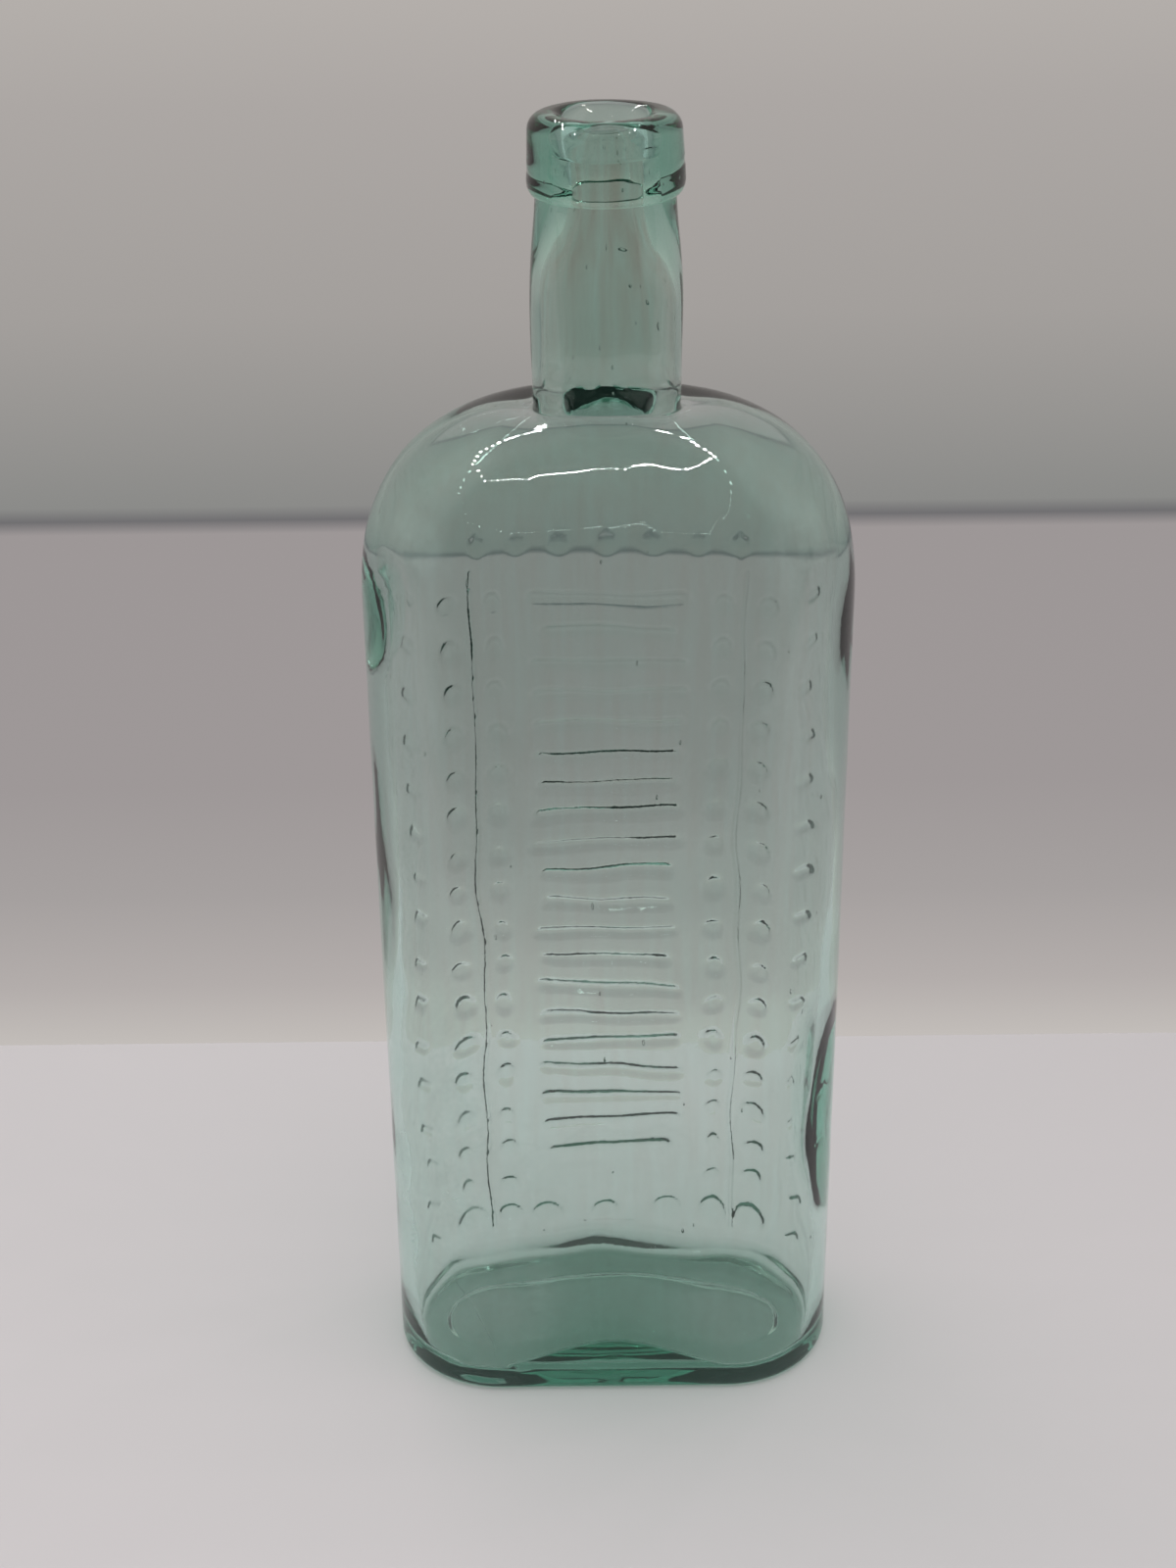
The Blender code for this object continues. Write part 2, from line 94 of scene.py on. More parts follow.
def add_node(tree, kind, sockets=None, **settings):
    """A node of this kind. Each socket gets a value, or a link where an output is given."""
    made = tree.nodes.new("ShaderNode" + kind)
    for name, value in settings.items():
        setattr(made, name, value)
    for socket, value in (sockets or {}).items():
        if isinstance(value, bpy.types.NodeSocket):
            tree.links.new(value, made.inputs[socket])
        else:
            made.inputs[socket].default_value = value
    return made


def new_material(name):
    """An empty node material and its tree."""
    material = bpy.data.materials.new(name)
    material.use_nodes = True
    material.node_tree.nodes.clear()
    return material, material.node_tree


def worked_out(tree, operation, *values, clamp=False):
    """The output of a Math node."""
    made = add_node(tree, "Math", dict(enumerate(values)), operation=operation, use_clamp=clamp)
    return made.outputs[0]


def remapped(tree, value, low, high, start=0.0, end=1.0):
    """The output that goes from start to end while the value goes from low to high."""
    sockets = {"Value": value, "From Min": low, "From Max": high, "To Min": start, "To Max": end}
    return add_node(tree, "MapRange", sockets).outputs[0]


def axis_of(tree, kind, axis):
    """One axis of the texture coordinates of this kind."""
    place = add_node(tree, "TexCoord").outputs[kind]
    return add_node(tree, "SeparateXYZ", {0: place}).outputs[axis]


def blend(tree, share, first, second):
    """The shader that goes from the first to the second with the share."""
    return add_node(tree, "MixShader", {0: share, 1: first, 2: second}).outputs[0]


def any_ray(tree, *kinds):
    """An output that is 1 for rays of these kinds, and 0 for all others."""
    path = add_node(tree, "LightPath").outputs
    either = path[kinds[0]]
    for kind in kinds[1:]:
        either = worked_out(tree, "MAXIMUM", either, path[kind])
    return either


print("a mid grey of 808080 is", round(srgb("808080")[0], 3), "in linear light")

# %% [markdown]
# The bottle's own sizes follow. The overall ones are read from the frame, so the glass can't drift
# away from the solids, and the others are the sizes that those solids were built with.

# %% Sizes of the bottle
HALF_WIDTH = (body_high.x - body_low.x) / 2
HALF_DEPTH = (body_high.y - body_low.y) / 2
HEIGHT = lip_high.z
LIP_FOOT = lip_low.z
RIM = body_high.z

NECK_LENGTH = 33.4 * MM
BODY_HEIGHT = LIP_FOOT - NECK_LENGTH
SHOULDER_RISE = 33.3 * MM
FACE_SHOULDER_RISE = 20.5 * MM
SHOULDER_START = BODY_HEIGHT - SHOULDER_RISE
SHOULDER_POWER = 2.3
BACK_BOW = 1.0 * MM
RELIEF = 0.6 * MM
BACK_HALF_DEPTH = HALF_DEPTH - RELIEF / 2
WALL = 3.0 * MM
NECK_FOOT_RADIUS = 12.1 * MM
NECK_BELLY_RADIUS = 12.4 * MM
NECK_BELLY_RISE = 14.7 * MM
NECK_TOP_RADIUS = 11.1 * MM
NECK_FILLET = 0.4 * MM
END_RADIUS = BACK_HALF_DEPTH - BACK_BOW / 2
HALF_GIRTH = HALF_WIDTH - END_RADIUS + END_RADIUS * math.pi / 2
print("half of the back measures", round(HALF_GIRTH / MM, 1), "mm along the glass")

# %% [markdown]
# The camera stands where the photograph was taken: a hand's height above the bottle, a little to its
# left, looking down. A long lens would flatten the base, so the lens and the distance both matter.

# %% Camera
CAMERA_PLACE = (-3.76 * MM, -370.18 * MM, 303.7 * MM)
CAMERA_PITCH_DEGREES = 26.57
CAMERA_ROLL_DEGREES = -0.63
LENS_MM = 54.07
SENSOR_WIDTH_MM = 36

camera_data = bpy.data.cameras.new("camera")
camera_data.lens = LENS_MM
camera_data.sensor_width = SENSOR_WIDTH_MM
camera = bpy.data.objects.new("camera", camera_data)
tilt = Matrix.Rotation(math.radians(90 - CAMERA_PITCH_DEGREES), 4, "X")
roll = Matrix.Rotation(math.radians(CAMERA_ROLL_DEGREES), 4, "Z")
camera.matrix_world = Matrix.Translation(CAMERA_PLACE) @ tilt @ roll
bpy.context.scene.collection.objects.link(camera)
bpy.context.scene.camera = camera
print("camera pitch", CAMERA_PITCH_DEGREES, "degrees down")

# %% [markdown]
# A bottle wall is a stack of levels. Each level of the body is flat in front, round at both ends and
# slightly bowed at the back, and each level of the neck is a circle. A surface could be subdivided
# from a few rings, but raised dots a few millimetres wide need a dense and even grid, so every level
# is worked out as an array of points instead, and the shoulder blends one outline into the other.
#
# A point on a level is named by its side, +1 for the back and -1 for the front, and by how far along
# that side it lies, from -1 at the left end to +1 at the right end.

# %% One level of the wall
NECK_PACE = 0.62  # how evenly the points spread round the neck: 1 is even


def mix(low, high, share):
    """The value at a share of the way from low to high."""
    return low + (high - low) * share


def fade(depth, width):
    """0 outside an edge and 1 once depth inside it reaches width, with a soft slope between."""
    share = np.clip(depth / width, 0.0, 1.0)
    return share * share * (3 - 2 * share)


def level(half_width, half_depth, height, roundness, columns):
    """Points of one level. roundness goes from 0 on the body to 1 on the neck."""
    side, along = columns
    bow = BACK_BOW * (1 - roundness)
    end_radius = half_depth - bow / 2
    half_flat = np.maximum(half_width - end_radius, 0.0)
    length = np.abs(along) * (half_flat + end_radius * math.pi / 2)
    turn = np.maximum(length - half_flat, 0.0) / end_radius
    x = np.sign(along) * (np.minimum(length, half_flat) + end_radius * np.sin(turn))
    y = side * end_radius * np.cos(turn) - bow / 2
    y += np.where(side > 0, bow * (1 - (x / half_width) ** 2), 0.0)
    swing = math.pi / 2 * np.abs(along) * (NECK_PACE + (1 - NECK_PACE) * along**2)
    x = mix(x, half_width * np.sign(along) * np.sin(swing), roundness)
    y = mix(y, half_depth * side * np.cos(swing), roundness)
    y -= RELIEF / 2 * (1 - roundness)
    return np.stack([x, y, np.full_like(x, height)], axis=1)


print("a soft edge has risen by", round(float(fade(0.25, 1.0)), 3), "after a quarter of its width")

# %% [markdown]
# The columns of the grid run round the bottle. The back carries the raised pattern, so its columns lie
# about 0.6 mm apart, and closer still at its two thin upright ridges, while the plain front makes do
# with wide ones. The inner skin uses every second column, which keeps the two skins easy to join.

# %% Columns of the grid
RIDGE_SHARE = 0.475
BACK_COLUMNS = 166
FRONT_COLUMNS = 50
RIDGE_BAND_SHARE = 0.03
RIDGE_DENSITY = 2.0
FINE_STEPS = 4000


def back_places():
    """Places along the back from end to end, closer together beside the two upright ridges."""
    fine = np.linspace(-1, 1, FINE_STEPS + 1)
    near_ridge = np.exp(-(((np.abs(fine) - RIDGE_SHARE) / RIDGE_BAND_SHARE) ** 2))
    total = np.cumsum(1 + (RIDGE_DENSITY - 1) * near_ridge)
    wanted = np.linspace(total[0], total[-1], BACK_COLUMNS + 1)
    return np.interp(wanted, total, fine)


back = back_places()
front = np.linspace(1, -1, FRONT_COLUMNS + 1)[1:-1]
along = np.concatenate([back, front])
side = np.concatenate([np.ones(len(back)), -np.ones(len(front))])
columns = (side, along)
inner_columns = (side[::2], along[::2])
print(len(along), "columns outside,", len(inner_columns[0]), "inside")

# %% [markdown]
# The outside, from the middle of the underside up. A blown bottle stands on a narrow ring, because its
# base is pushed up while it is soft, and here the mould also left a sunk panel with a rounded step. Both
# show through the base as fine outlines, so they are worth their levels. A plane with a panel cut into
# it would have hard edges, and no edge of blown glass is hard. Above the heel the wall rises straight.

# %% Underside, heel and wall
HEEL_RADIUS = 2.0 * MM
LEDGE_RISE = 0.25 * MM
PANEL_HALF_WIDTH = 31.5 * MM
PANEL_HALF_DEPTH = 9.0 * MM
PANEL_STEP = 1.4 * MM
PANEL_RISE = 2.2 * MM
PANEL_LEVELS = 9
STEP_LEVELS = 6
LEDGE_LEVELS = 7
HEEL_LEVELS = 7
WALL_STEP = 0.6 * MM


def inset_level(inset, height, columns):
    return level(HALF_WIDTH - inset, BACK_HALF_DEPTH - inset, height, 0.0, columns)


def underside_levels():
    """From near the middle of the base out over the sunk panel's edge to the foot of the heel."""
    levels = []
    for share in np.arange(1, PANEL_LEVELS + 1) / PANEL_LEVELS:
        height = mix(PANEL_RISE, PANEL_STEP, share**2)
        levels.append(level(PANEL_HALF_WIDTH * share, PANEL_HALF_DEPTH * share, height, 0.0, columns))
    for turn in np.linspace(0, math.pi, STEP_LEVELS + 1)[1:]:
        out = PANEL_STEP * turn / math.pi
        height = mix(LEDGE_RISE, PANEL_STEP, (1 + math.cos(turn)) / 2)
        levels.append(level(PANEL_HALF_WIDTH + out, PANEL_HALF_DEPTH + out, height, 0.0, columns))
    for share in np.arange(1, LEDGE_LEVELS) / LEDGE_LEVELS:
        half_width = mix(PANEL_HALF_WIDTH + PANEL_STEP, HALF_WIDTH - HEEL_RADIUS, share)
        half_depth = mix(PANEL_HALF_DEPTH + PANEL_STEP, BACK_HALF_DEPTH - HEEL_RADIUS, share)
        levels.append(level(half_width, half_depth, LEDGE_RISE * (1 - share**2), 0.0, columns))
    return levels


def heel_levels():
    levels = []
    for turn in np.linspace(0, math.pi / 2, HEEL_LEVELS):
        inset = HEEL_RADIUS * (1 - math.sin(turn))
        levels.append(inset_level(inset, HEEL_RADIUS * (1 - math.cos(turn)), columns))
    return levels


def wall_levels():
    count = round((SHOULDER_START - HEEL_RADIUS) / WALL_STEP)
    heights = np.linspace(HEEL_RADIUS, SHOULDER_START, count + 1)[1:]
    return [inset_level(0.0, height, columns) for height in heights]


low_levels = underside_levels() + heel_levels() + wall_levels()
print(len(low_levels), "levels from the underside to the foot of the shoulder")

# %% [markdown]
# The wall turns over in the shoulder, fuller at the sides than over the flat faces, and meets the neck
# in a small fillet. That joint isn't level: the shoulder climbs up the neck like a saddle, most of all
# in front. The neck could be a plain cylinder, but on the real bottle it swells to a belly and draws in
# under the lip.

# %% Shoulder and neck
SHOULDER_LEVELS = 40
FILLET_LEVELS = 3
FACE_POWER = 2
SADDLE = 1.0 * MM
FRONT_SADDLE_TIMES = 2.0
SADDLE_REACH = 6.0 * MM
SADDLE_BLEND = 9.0 * MM
NECK_LEVELS = 26


def flank(height, bottom, top, outer, inner, power):
    """Half size at a height of a shoulder that is outer at its bottom and inner at its top."""
    climb = min(max((height - bottom) / (top - bottom), 0.0), 1.0)
    return mix(inner, outer, (1 - climb**power) ** (1 / power))


def saddled(points):
    """The shoulder climbs further up the neck in front than behind, and least at the sides."""
    x, y, height = points.T
    spread = np.hypot(x, y)
    lift = SADDLE * (np.where(y < 0, FRONT_SADDLE_TIMES, 1.0) * (y / spread) ** 2 - 1)
    over_neck = np.clip(1 - (height - BODY_HEIGHT) / SADDLE_BLEND, 0.0, 1.0) ** 2
    off_neck = np.maximum(spread - NECK_FOOT_RADIUS, 0) / SADDLE_REACH
    points[:, 2] += lift * over_neck * np.exp(-(off_neck**2))
    return points


def shoulder_level(height):
    foot = NECK_FOOT_RADIUS + NECK_FILLET
    half_width = flank(height, SHOULDER_START, BODY_HEIGHT, HALF_WIDTH, foot, SHOULDER_POWER)
    face_foot = BODY_HEIGHT - FACE_SHOULDER_RISE
    half_depth = flank(height, face_foot, BODY_HEIGHT, BACK_HALF_DEPTH, foot, FACE_POWER)
    narrowing = (HALF_WIDTH - half_width) / (HALF_WIDTH - foot)
    return saddled(level(half_width, half_depth, height, narrowing**2, columns))


def outer_shoulder_levels():
    levels = []
    for turn in np.linspace(0, math.pi / 2, SHOULDER_LEVELS + 1)[1:]:
        height = mix(SHOULDER_START, BODY_HEIGHT, math.sin(turn) ** (2 / SHOULDER_POWER))
        levels.append(shoulder_level(height))
    for turn in np.linspace(0, math.pi / 2, FILLET_LEVELS + 1)[1:]:
        radius = NECK_FOOT_RADIUS + NECK_FILLET * (1 - math.sin(turn))
        height = BODY_HEIGHT + NECK_FILLET * (1 - math.cos(turn))
        levels.append(saddled(level(radius, radius, height, 1.0, columns)))
    return levels


def neck_radius_at(height):
    """The neck swells from its foot to a belly and then draws in under the lip."""
    belly = BODY_HEIGHT + NECK_BELLY_RISE
    if height < belly:
        share = (height - BODY_HEIGHT) / NECK_BELLY_RISE
        return mix(NECK_FOOT_RADIUS, NECK_BELLY_RADIUS, math.sin(math.pi / 2 * share))
    share = min((height - belly) / (LIP_FOOT - belly), 1.0)
    return mix(NECK_TOP_RADIUS, NECK_BELLY_RADIUS, math.cos(math.pi / 2 * share))


def neck_levels():
    levels = []
    for height in np.linspace(BODY_HEIGHT + NECK_FILLET, LIP_FOOT, NECK_LEVELS + 1)[1:]:
        radius = neck_radius_at(height)
        levels.append(saddled(level(radius, radius, height, 1.0, columns)))
    levels.append(level(NECK_TOP_RADIUS, NECK_TOP_RADIUS, RIM, 1.0, columns))
    return levels


outside = np.array(low_levels + outer_shoulder_levels() + neck_levels())
print("outer skin:", outside.shape[0], "levels of", outside.shape[1], "points")

# %% [markdown]
# The inside, from the rim down. Blown glass isn't as true inside as where it meets the mould. The bore
# is round where the lip was tooled and widens downwards to an oval. The ceiling under the shoulder could
# be one dome, but glass turns back any light that meets it too flatly, and that shows as a dark patch.
# So the ceiling slopes in front, and behind and beside the neck it follows the outside.

# %% Bore and ceiling inside
THROAT_RADIUS = 5.6 * MM
THROAT_FOOT = LIP_FOOT + 1.0 * MM
BORE_FLARE = 18.0 * MM
BORE_HALF_WIDTH = 9.3 * MM
BORE_HALF_DEPTH = 6.8 * MM
BORE_FOOT_ROUND = 1.2 * MM
BORE_LEVELS = 30
INNER_SHOULDER_LEVELS = 34
INNER_TOP = BODY_HEIGHT - 1.8 * MM
SIDE_BLEND = 0.8
BACK_CEILING_DEPTH = 10.5 * MM
FRONT_DOME_POWER = 1.6
FRONT_DOME_TOP = BODY_HEIGHT + 1.5 * MM


def bore_at(height):
    """Half width and half depth of the bore: narrow and round in the lip, a wide oval below it."""
    descent = min(max((THROAT_FOOT - height) / BORE_FLARE, 0.0), 1.0)
    widening = math.sin(math.pi / 2 * descent) ** 2
    half_width = mix(THROAT_RADIUS, BORE_HALF_WIDTH, widening)
    return half_width, mix(THROAT_RADIUS, BORE_HALF_DEPTH, widening)


def soft_max(one, other):
    """The larger of two sizes, with a soft change from one to the other."""
    return (one + other + np.hypot(one - other, BORE_FOOT_ROUND)) / 2


def hollow_width(height, bore_wide):
    """Half width of the hollow: one dome in front, and level beside the bore at the back."""
    side, along = inner_columns
    wide = HALF_WIDTH - WALL
    dome = flank(height, SHOULDER_START, INNER_TOP, wide, 0.0, SHOULDER_POWER)
    ceiling = BORE_HALF_WIDTH if height <= INNER_TOP else 0.0
    behind = flank(height, SHOULDER_START, INNER_TOP, wide, ceiling, SHOULDER_POWER)
    near_end = fade(np.abs(along) - SIDE_BLEND, 1 - SIDE_BLEND)
    narrowing = min((wide - dome) / (wide - bore_wide), 1.0)
    return mix(dome, behind, np.where(side > 0, 1.0, near_end)), narrowing


def hollow_depth(height):
    """Half depth of the hollow on each side of its middle."""
    foot = BODY_HEIGHT - FACE_SHOULDER_RISE
    deep = BACK_HALF_DEPTH - WALL
    ceiling = BACK_CEILING_DEPTH if height <= INNER_TOP else 0.0
    behind = flank(height, foot, INNER_TOP, deep, ceiling, FACE_POWER)
    before = flank(height, foot, FRONT_DOME_TOP, deep, 0.0, FRONT_DOME_POWER)
    return np.where(inner_columns[0] > 0, behind, before)


def inner_level(height):
    """The hollow at a height: the bore, the domed shoulder, or where one opens into the other."""
    bore_wide, bore_deep = bore_at(height)
    wide, narrowing = hollow_width(height, bore_wide)
    half_width = soft_max(bore_wide, wide)
    half_depth = soft_max(bore_deep, hollow_depth(height))
    return level(half_width, half_depth, height, narrowing**2, inner_columns)


def bore_levels():
    return [inner_level(height) for height in np.linspace(RIM, INNER_TOP, BORE_LEVELS + 1)[:-1]]


def inner_shoulder_levels():
    levels = []
    for turn in np.linspace(math.pi / 2, 0, INNER_SHOULDER_LEVELS + 1):
        height = mix(SHOULDER_START, INNER_TOP, math.sin(turn) ** (2 / SHOULDER_POWER))
        levels.append(inner_level(height))
    return levels


high_levels = bore_levels() + inner_shoulder_levels()
print(len(high_levels), "levels from the rim to the foot of the ceiling")

# %% [markdown]
# The floor of the hollow is arched like a bridge, because the base was pushed up, and it runs up into
# the walls in a rounding that is tight in front and broad behind. The base gets its deep green from this
# shape: light that runs along the arch crosses many times more glass than light that goes through it.

# %% Wall and floor inside
INNER_WALL_STEP = 1.5 * MM
FRONT_FILLET = 1.4 * MM
BACK_FILLET = 5.0 * MM
FLOOR_FILLET_LEVELS = 8
FLOOR_LEVELS = 14
BASE_GLASS = 3.5 * MM
FLOOR_DOME = 6.5 * MM
ARCH_HALF_WIDTH = 24.5 * MM
BACK_DOME_SHARE = 0.45


def floor_height(x, y):
    """Height of the inside floor over the table: arched like a bridge, and most of all in front."""
    arch = np.cos(math.pi / 2 * np.minimum(np.abs(x) / ARCH_HALF_WIDTH, 1.0)) ** 2
    return BASE_GLASS + FLOOR_DOME * arch * mix(1.0, BACK_DOME_SHARE, (1 + y / HALF_DEPTH) / 2)


def inner_wall_levels():
    foot = BASE_GLASS + FLOOR_DOME + FRONT_FILLET
    count = round((SHOULDER_START - foot) / INNER_WALL_STEP)
    heights = np.linspace(SHOULDER_START, foot, count + 1)[1:]
    return [inset_level(WALL, height, inner_columns) for height in heights]


def floor_levels():
    """The rounding at the foot of the wall, tight in front and broad behind, and the floor."""
    levels = []
    wall_y = inset_level(WALL, 0.0, inner_columns)[:, 1]
    fillet = mix(FRONT_FILLET, BACK_FILLET, (1 + wall_y / wall_y.max()) / 2)
    for turn in np.linspace(0, math.pi / 2, FLOOR_FILLET_LEVELS):
        points = inset_level(WALL + fillet * (1 - math.cos(turn)), 0.0, inner_columns)
        points[:, 2] = floor_height(points[:, 0], points[:, 1]) + fillet * (1 - math.sin(turn))
        levels.append(points)
    for share in np.arange(FLOOR_LEVELS - 1, 0, -1) / FLOOR_LEVELS:
        points = levels[FLOOR_FILLET_LEVELS - 1] * share
        points[:, 2] = floor_height(points[:, 0], points[:, 1])
        levels.append(points)
    return levels


inside = np.array(high_levels + inner_wall_levels() + floor_levels())
print("inner skin:", inside.shape[0], "levels of", inside.shape[1], "points")

# %% [markdown]
# The raised pattern tells a hand in the dark that the bottle holds poison. It could be many small
# meshes joined to the wall, but in glass their seams would catch the light. Pressed glass has soft
# slopes instead, so the pattern is one height map over the back: each shape lifts the skin where a
# point lies inside its outline, and the lift fades in over a soft edge. The mould was cut by hand and
# had worn, so no two copies of a shape are quite alike.

# %% Sizes of the raised pattern
DOT_RADIUS = 2.3 * MM
BASE_DOT_RADIUS = 3.3 * MM
DOT_PITCH = 8.3 * MM
PATTERN_FOOT = 12.5 * MM
PATTERN_TOP = SHOULDER_START - 3.0 * MM
RIB_PITCH = 6.2 * MM
RIB_FOOT = 28.5 * MM
RIB_WIDTH = 2.7 * MM
RIB_TILT = 0.012
RIDGE_WIDTH = 1.1 * MM
RIDGE_FOOT = 9.0 * MM
RIDGE_WAVE = 0.35 * MM
WAVES_PER_RIDGE = 3
DASH_LENGTH = 6.6 * MM
DASH_WIDTH = 1.9 * MM
DASH_PITCH = 9.2 * MM
DASH_SLANT_DEGREES = 38
DIAMOND_WIDTH = 5.2 * MM
DIAMOND_HEIGHT = 9.2 * MM
TOP_ROW_RISE = 4.8 * MM
EDGE = 0.6 * MM
DOT_EDGE = 1.4 * EDGE
BASE_DOT_EDGE = 1.2 * EDGE
DIAMOND_EDGE = 2.5 * EDGE
RIDGE_EDGE = 0.6 * EDGE
PLACE_SLIP = 0.12 * MM
RIB_LENGTH_TIMES = (0.85, 1.05)
WORN_TO = (0.8, 1.0)
INNER_DOTS_SHARE = 0.39
OUTER_DOTS_SHARE = 0.56
DASH_SHARE = 0.775
RIB_HALF_LENGTH_SHARE = 0.265
TOP_ROW_SHARES = (-0.45, -0.3, -0.15, 0.0, 0.15, 0.3, 0.45)
BASE_DOT_SHARES = (-0.39, -0.24, -0.01, 0.215, 0.4, 0.55, -0.55)

hand = np.random.default_rng(7)


def rows(first, pitch):
    """Heights of the rows of one column, from the first up to the top of the pattern."""
    return np.arange(first, PATTERN_TOP, pitch)


print("a column holds", len(rows(PATTERN_FOOT, DOT_PITCH)), "dots, and the ladder has", end=" ")
print(len(rows(RIB_FOOT, RIB_PITCH)), "ribs")

# %% [markdown]
# Each shape is told by how deep a point lies inside it: a dot by its distance from the middle, a bar by
# the distance from its middle line, and a diamond by the sum of its two shares. Small random slips move,
# tilt and wear each copy. A pattern from image textures would repeat them all alike.

# %% Height of the raised pattern
def bar_depth(girth, height, middle, half_length, half_width, slant=0.0):
    """How deep points lie inside a bar with round ends."""
    across, up = girth - middle[0], height - middle[1]
    along_bar = across * math.cos(slant) + up * math.sin(slant)
    over_bar = up * math.cos(slant) - across * math.sin(slant)
    beyond = np.maximum(np.abs(along_bar) - half_length + half_width, 0.0)
    return half_width - np.hypot(beyond, over_bar)


def slipped(share):
    """A place along the back, as near to its mark as a hand cuts it."""
    return HALF_GIRTH * share + hand.normal(0, PLACE_SLIP)


def slipped_up(height):
    return height + hand.normal(0, PLACE_SLIP)


def pattern_shapes(girth, height):
    """For each raised shape, how deep the points lie inside it and how soft its edge is."""
    for share in BASE_DOT_SHARES:
        off = np.hypot(girth - slipped(share), height - slipped_up(PATTERN_FOOT))
        yield BASE_DOT_RADIUS - off, BASE_DOT_EDGE
    for share in (INNER_DOTS_SHARE, OUTER_DOTS_SHARE, -INNER_DOTS_SHARE, -OUTER_DOTS_SHARE):
        for up in rows(PATTERN_FOOT + DOT_PITCH, DOT_PITCH):
            yield DOT_RADIUS - np.hypot(girth - slipped(share), height - slipped_up(up)), DOT_EDGE
    for up in rows(RIB_FOOT, RIB_PITCH):
        middle = (slipped(0.0), slipped_up(up))
        tilt = hand.normal(0, RIB_TILT)
        half_length = HALF_GIRTH * RIB_HALF_LENGTH_SHARE * hand.uniform(*RIB_LENGTH_TIMES)
        yield bar_depth(girth, height, middle, half_length, RIB_WIDTH / 2, tilt), EDGE
    for share in (DASH_SHARE, -DASH_SHARE):
        slant = math.copysign(math.radians(DASH_SLANT_DEGREES), share)
        for up in rows(PATTERN_FOOT, DASH_PITCH):
            middle = (slipped(share), slipped_up(up))
            yield bar_depth(girth, height, middle, DASH_LENGTH / 2, DASH_WIDTH / 2, slant), EDGE
    for share in TOP_ROW_SHARES:
        across = np.abs(girth - slipped(share)) / (DIAMOND_WIDTH / 2)
        up = np.abs(height - slipped_up(SHOULDER_START + TOP_ROW_RISE)) / (DIAMOND_HEIGHT / 2)
        yield (1 - across - up) * DIAMOND_WIDTH / 2, DIAMOND_EDGE
    for share in (RIDGE_SHARE, -RIDGE_SHARE):
        climb = (height - RIDGE_FOOT) / (PATTERN_TOP - RIDGE_FOOT)
        wander = RIDGE_WAVE * np.sin(2 * math.pi * WAVES_PER_RIDGE * climb)
        off = np.abs(girth - HALF_GIRTH * share - wander)
        beyond = np.maximum(np.maximum(RIDGE_FOOT - height, height - PATTERN_TOP), 0.0)
        yield RIDGE_WIDTH / 2 - np.hypot(off, beyond), RIDGE_EDGE


def pattern_height(girth, height):
    """How far the pattern lifts each point of the back."""
    lift = np.zeros_like(girth)
    count = 0
    for depth, edge in pattern_shapes(girth, height):
        worn = hand.uniform(*WORN_TO)
        lift = np.maximum(lift, RELIEF * worn * fade(depth, edge))
        count += 1
    print("raised shapes:", count)
    return lift


# %% [markdown]
# Old bottle glass is never flat. The iron mould was cooler than the glass, which left the outside
# faintly rippled, and inside the glass ran as it liked, so the wall is thicker in some places than in
# others. Seen through both walls these waves bend the background more than the pattern does. A sum of
# sine waves in many directions gives such a surface, and it is smooth at every scale, unlike a noise
# texture on a coarse grid. The waves only ever take glass away, so the bottle keeps its outer size.

# %% Waves of the glass
OUTER_RIPPLE, OUTER_WAVE, OUTER_TALL = 0.05 * MM, 14 * MM, 2.0
INNER_RIPPLE, INNER_WAVE, INNER_TALL = 0.10 * MM, 13 * MM, 2.5
NECK_STREAK, NECK_WAVE, NECK_TALL = 0.05 * MM, 4 * MM, 8.0
BORE_STREAK, BORE_WAVE, BORE_TALL = 0.22 * MM, 5 * MM, 9.0
THICKNESS_SWING, THICKNESS_WAVE = 0.35 * MM, 45 * MM
WAVE_COUNT = 9
WAVE_SPREAD = (0.7, 1.3)
WAVE_PEAK = 1.5
TINY = 1e-12

waves = np.random.default_rng(11)


def ripple(points, length, tall=1.0):
    """Smooth waves between -1 and 1 about length apart, drawn out upwards where tall is over 1."""
    total = np.zeros(points.shape[:-1])
    for _ in range(WAVE_COUNT):
        direction = waves.normal(0, 1, 3)
        direction[2] /= tall
        direction *= 2 * math.pi / length / np.linalg.norm(direction) * waves.uniform(*WAVE_SPREAD)
        total += np.sin(points @ direction + waves.uniform(0, 2 * math.pi))
    return total / WAVE_COUNT**0.5 / WAVE_PEAK


def normals_of(grid):
    """Unit normals of a grid of levels that closes on itself sideways."""
    sideways = np.roll(grid, -1, axis=1) - np.roll(grid, 1, axis=1)
    upwards = np.gradient(grid, axis=0)
    normal = np.cross(upwards, sideways)
    return normal / np.maximum(np.linalg.norm(normal, axis=2, keepdims=True), TINY)


print("each set of ripples is a sum of", WAVE_COUNT, "waves")

# %% [markdown]
# Three faults of this bottle are larger than ripples. A flake is missing from the front of its heel, and
# inside each end the wall has a thick spot, where the bubble had cooled unevenly. The edges of such
# spots bend light hard, so they show as dark teal crescents. A carved mesh or a Boolean could make them,
# but a soft mask on the grid keeps the skin in one piece.

# %% Chip and thick spots
CHIP_PLACE = (-24.0 * MM, 4.0 * MM)
CHIP_HALF_SIZE = (7.0 * MM, 2.4 * MM)
CHIP_DEPTH = 0.7 * MM
CHIP_EDGE = 0.4
SPOT_EDGE = 0.5
THICK_SPOTS = (  # which end, middle's height, half height, half width, depth
    (-1, 152 * MM, 11 * MM, 9 * MM, 2.3 * MM),
    (1, 51 * MM, 25 * MM, 10.5 * MM, 2.1 * MM),
)


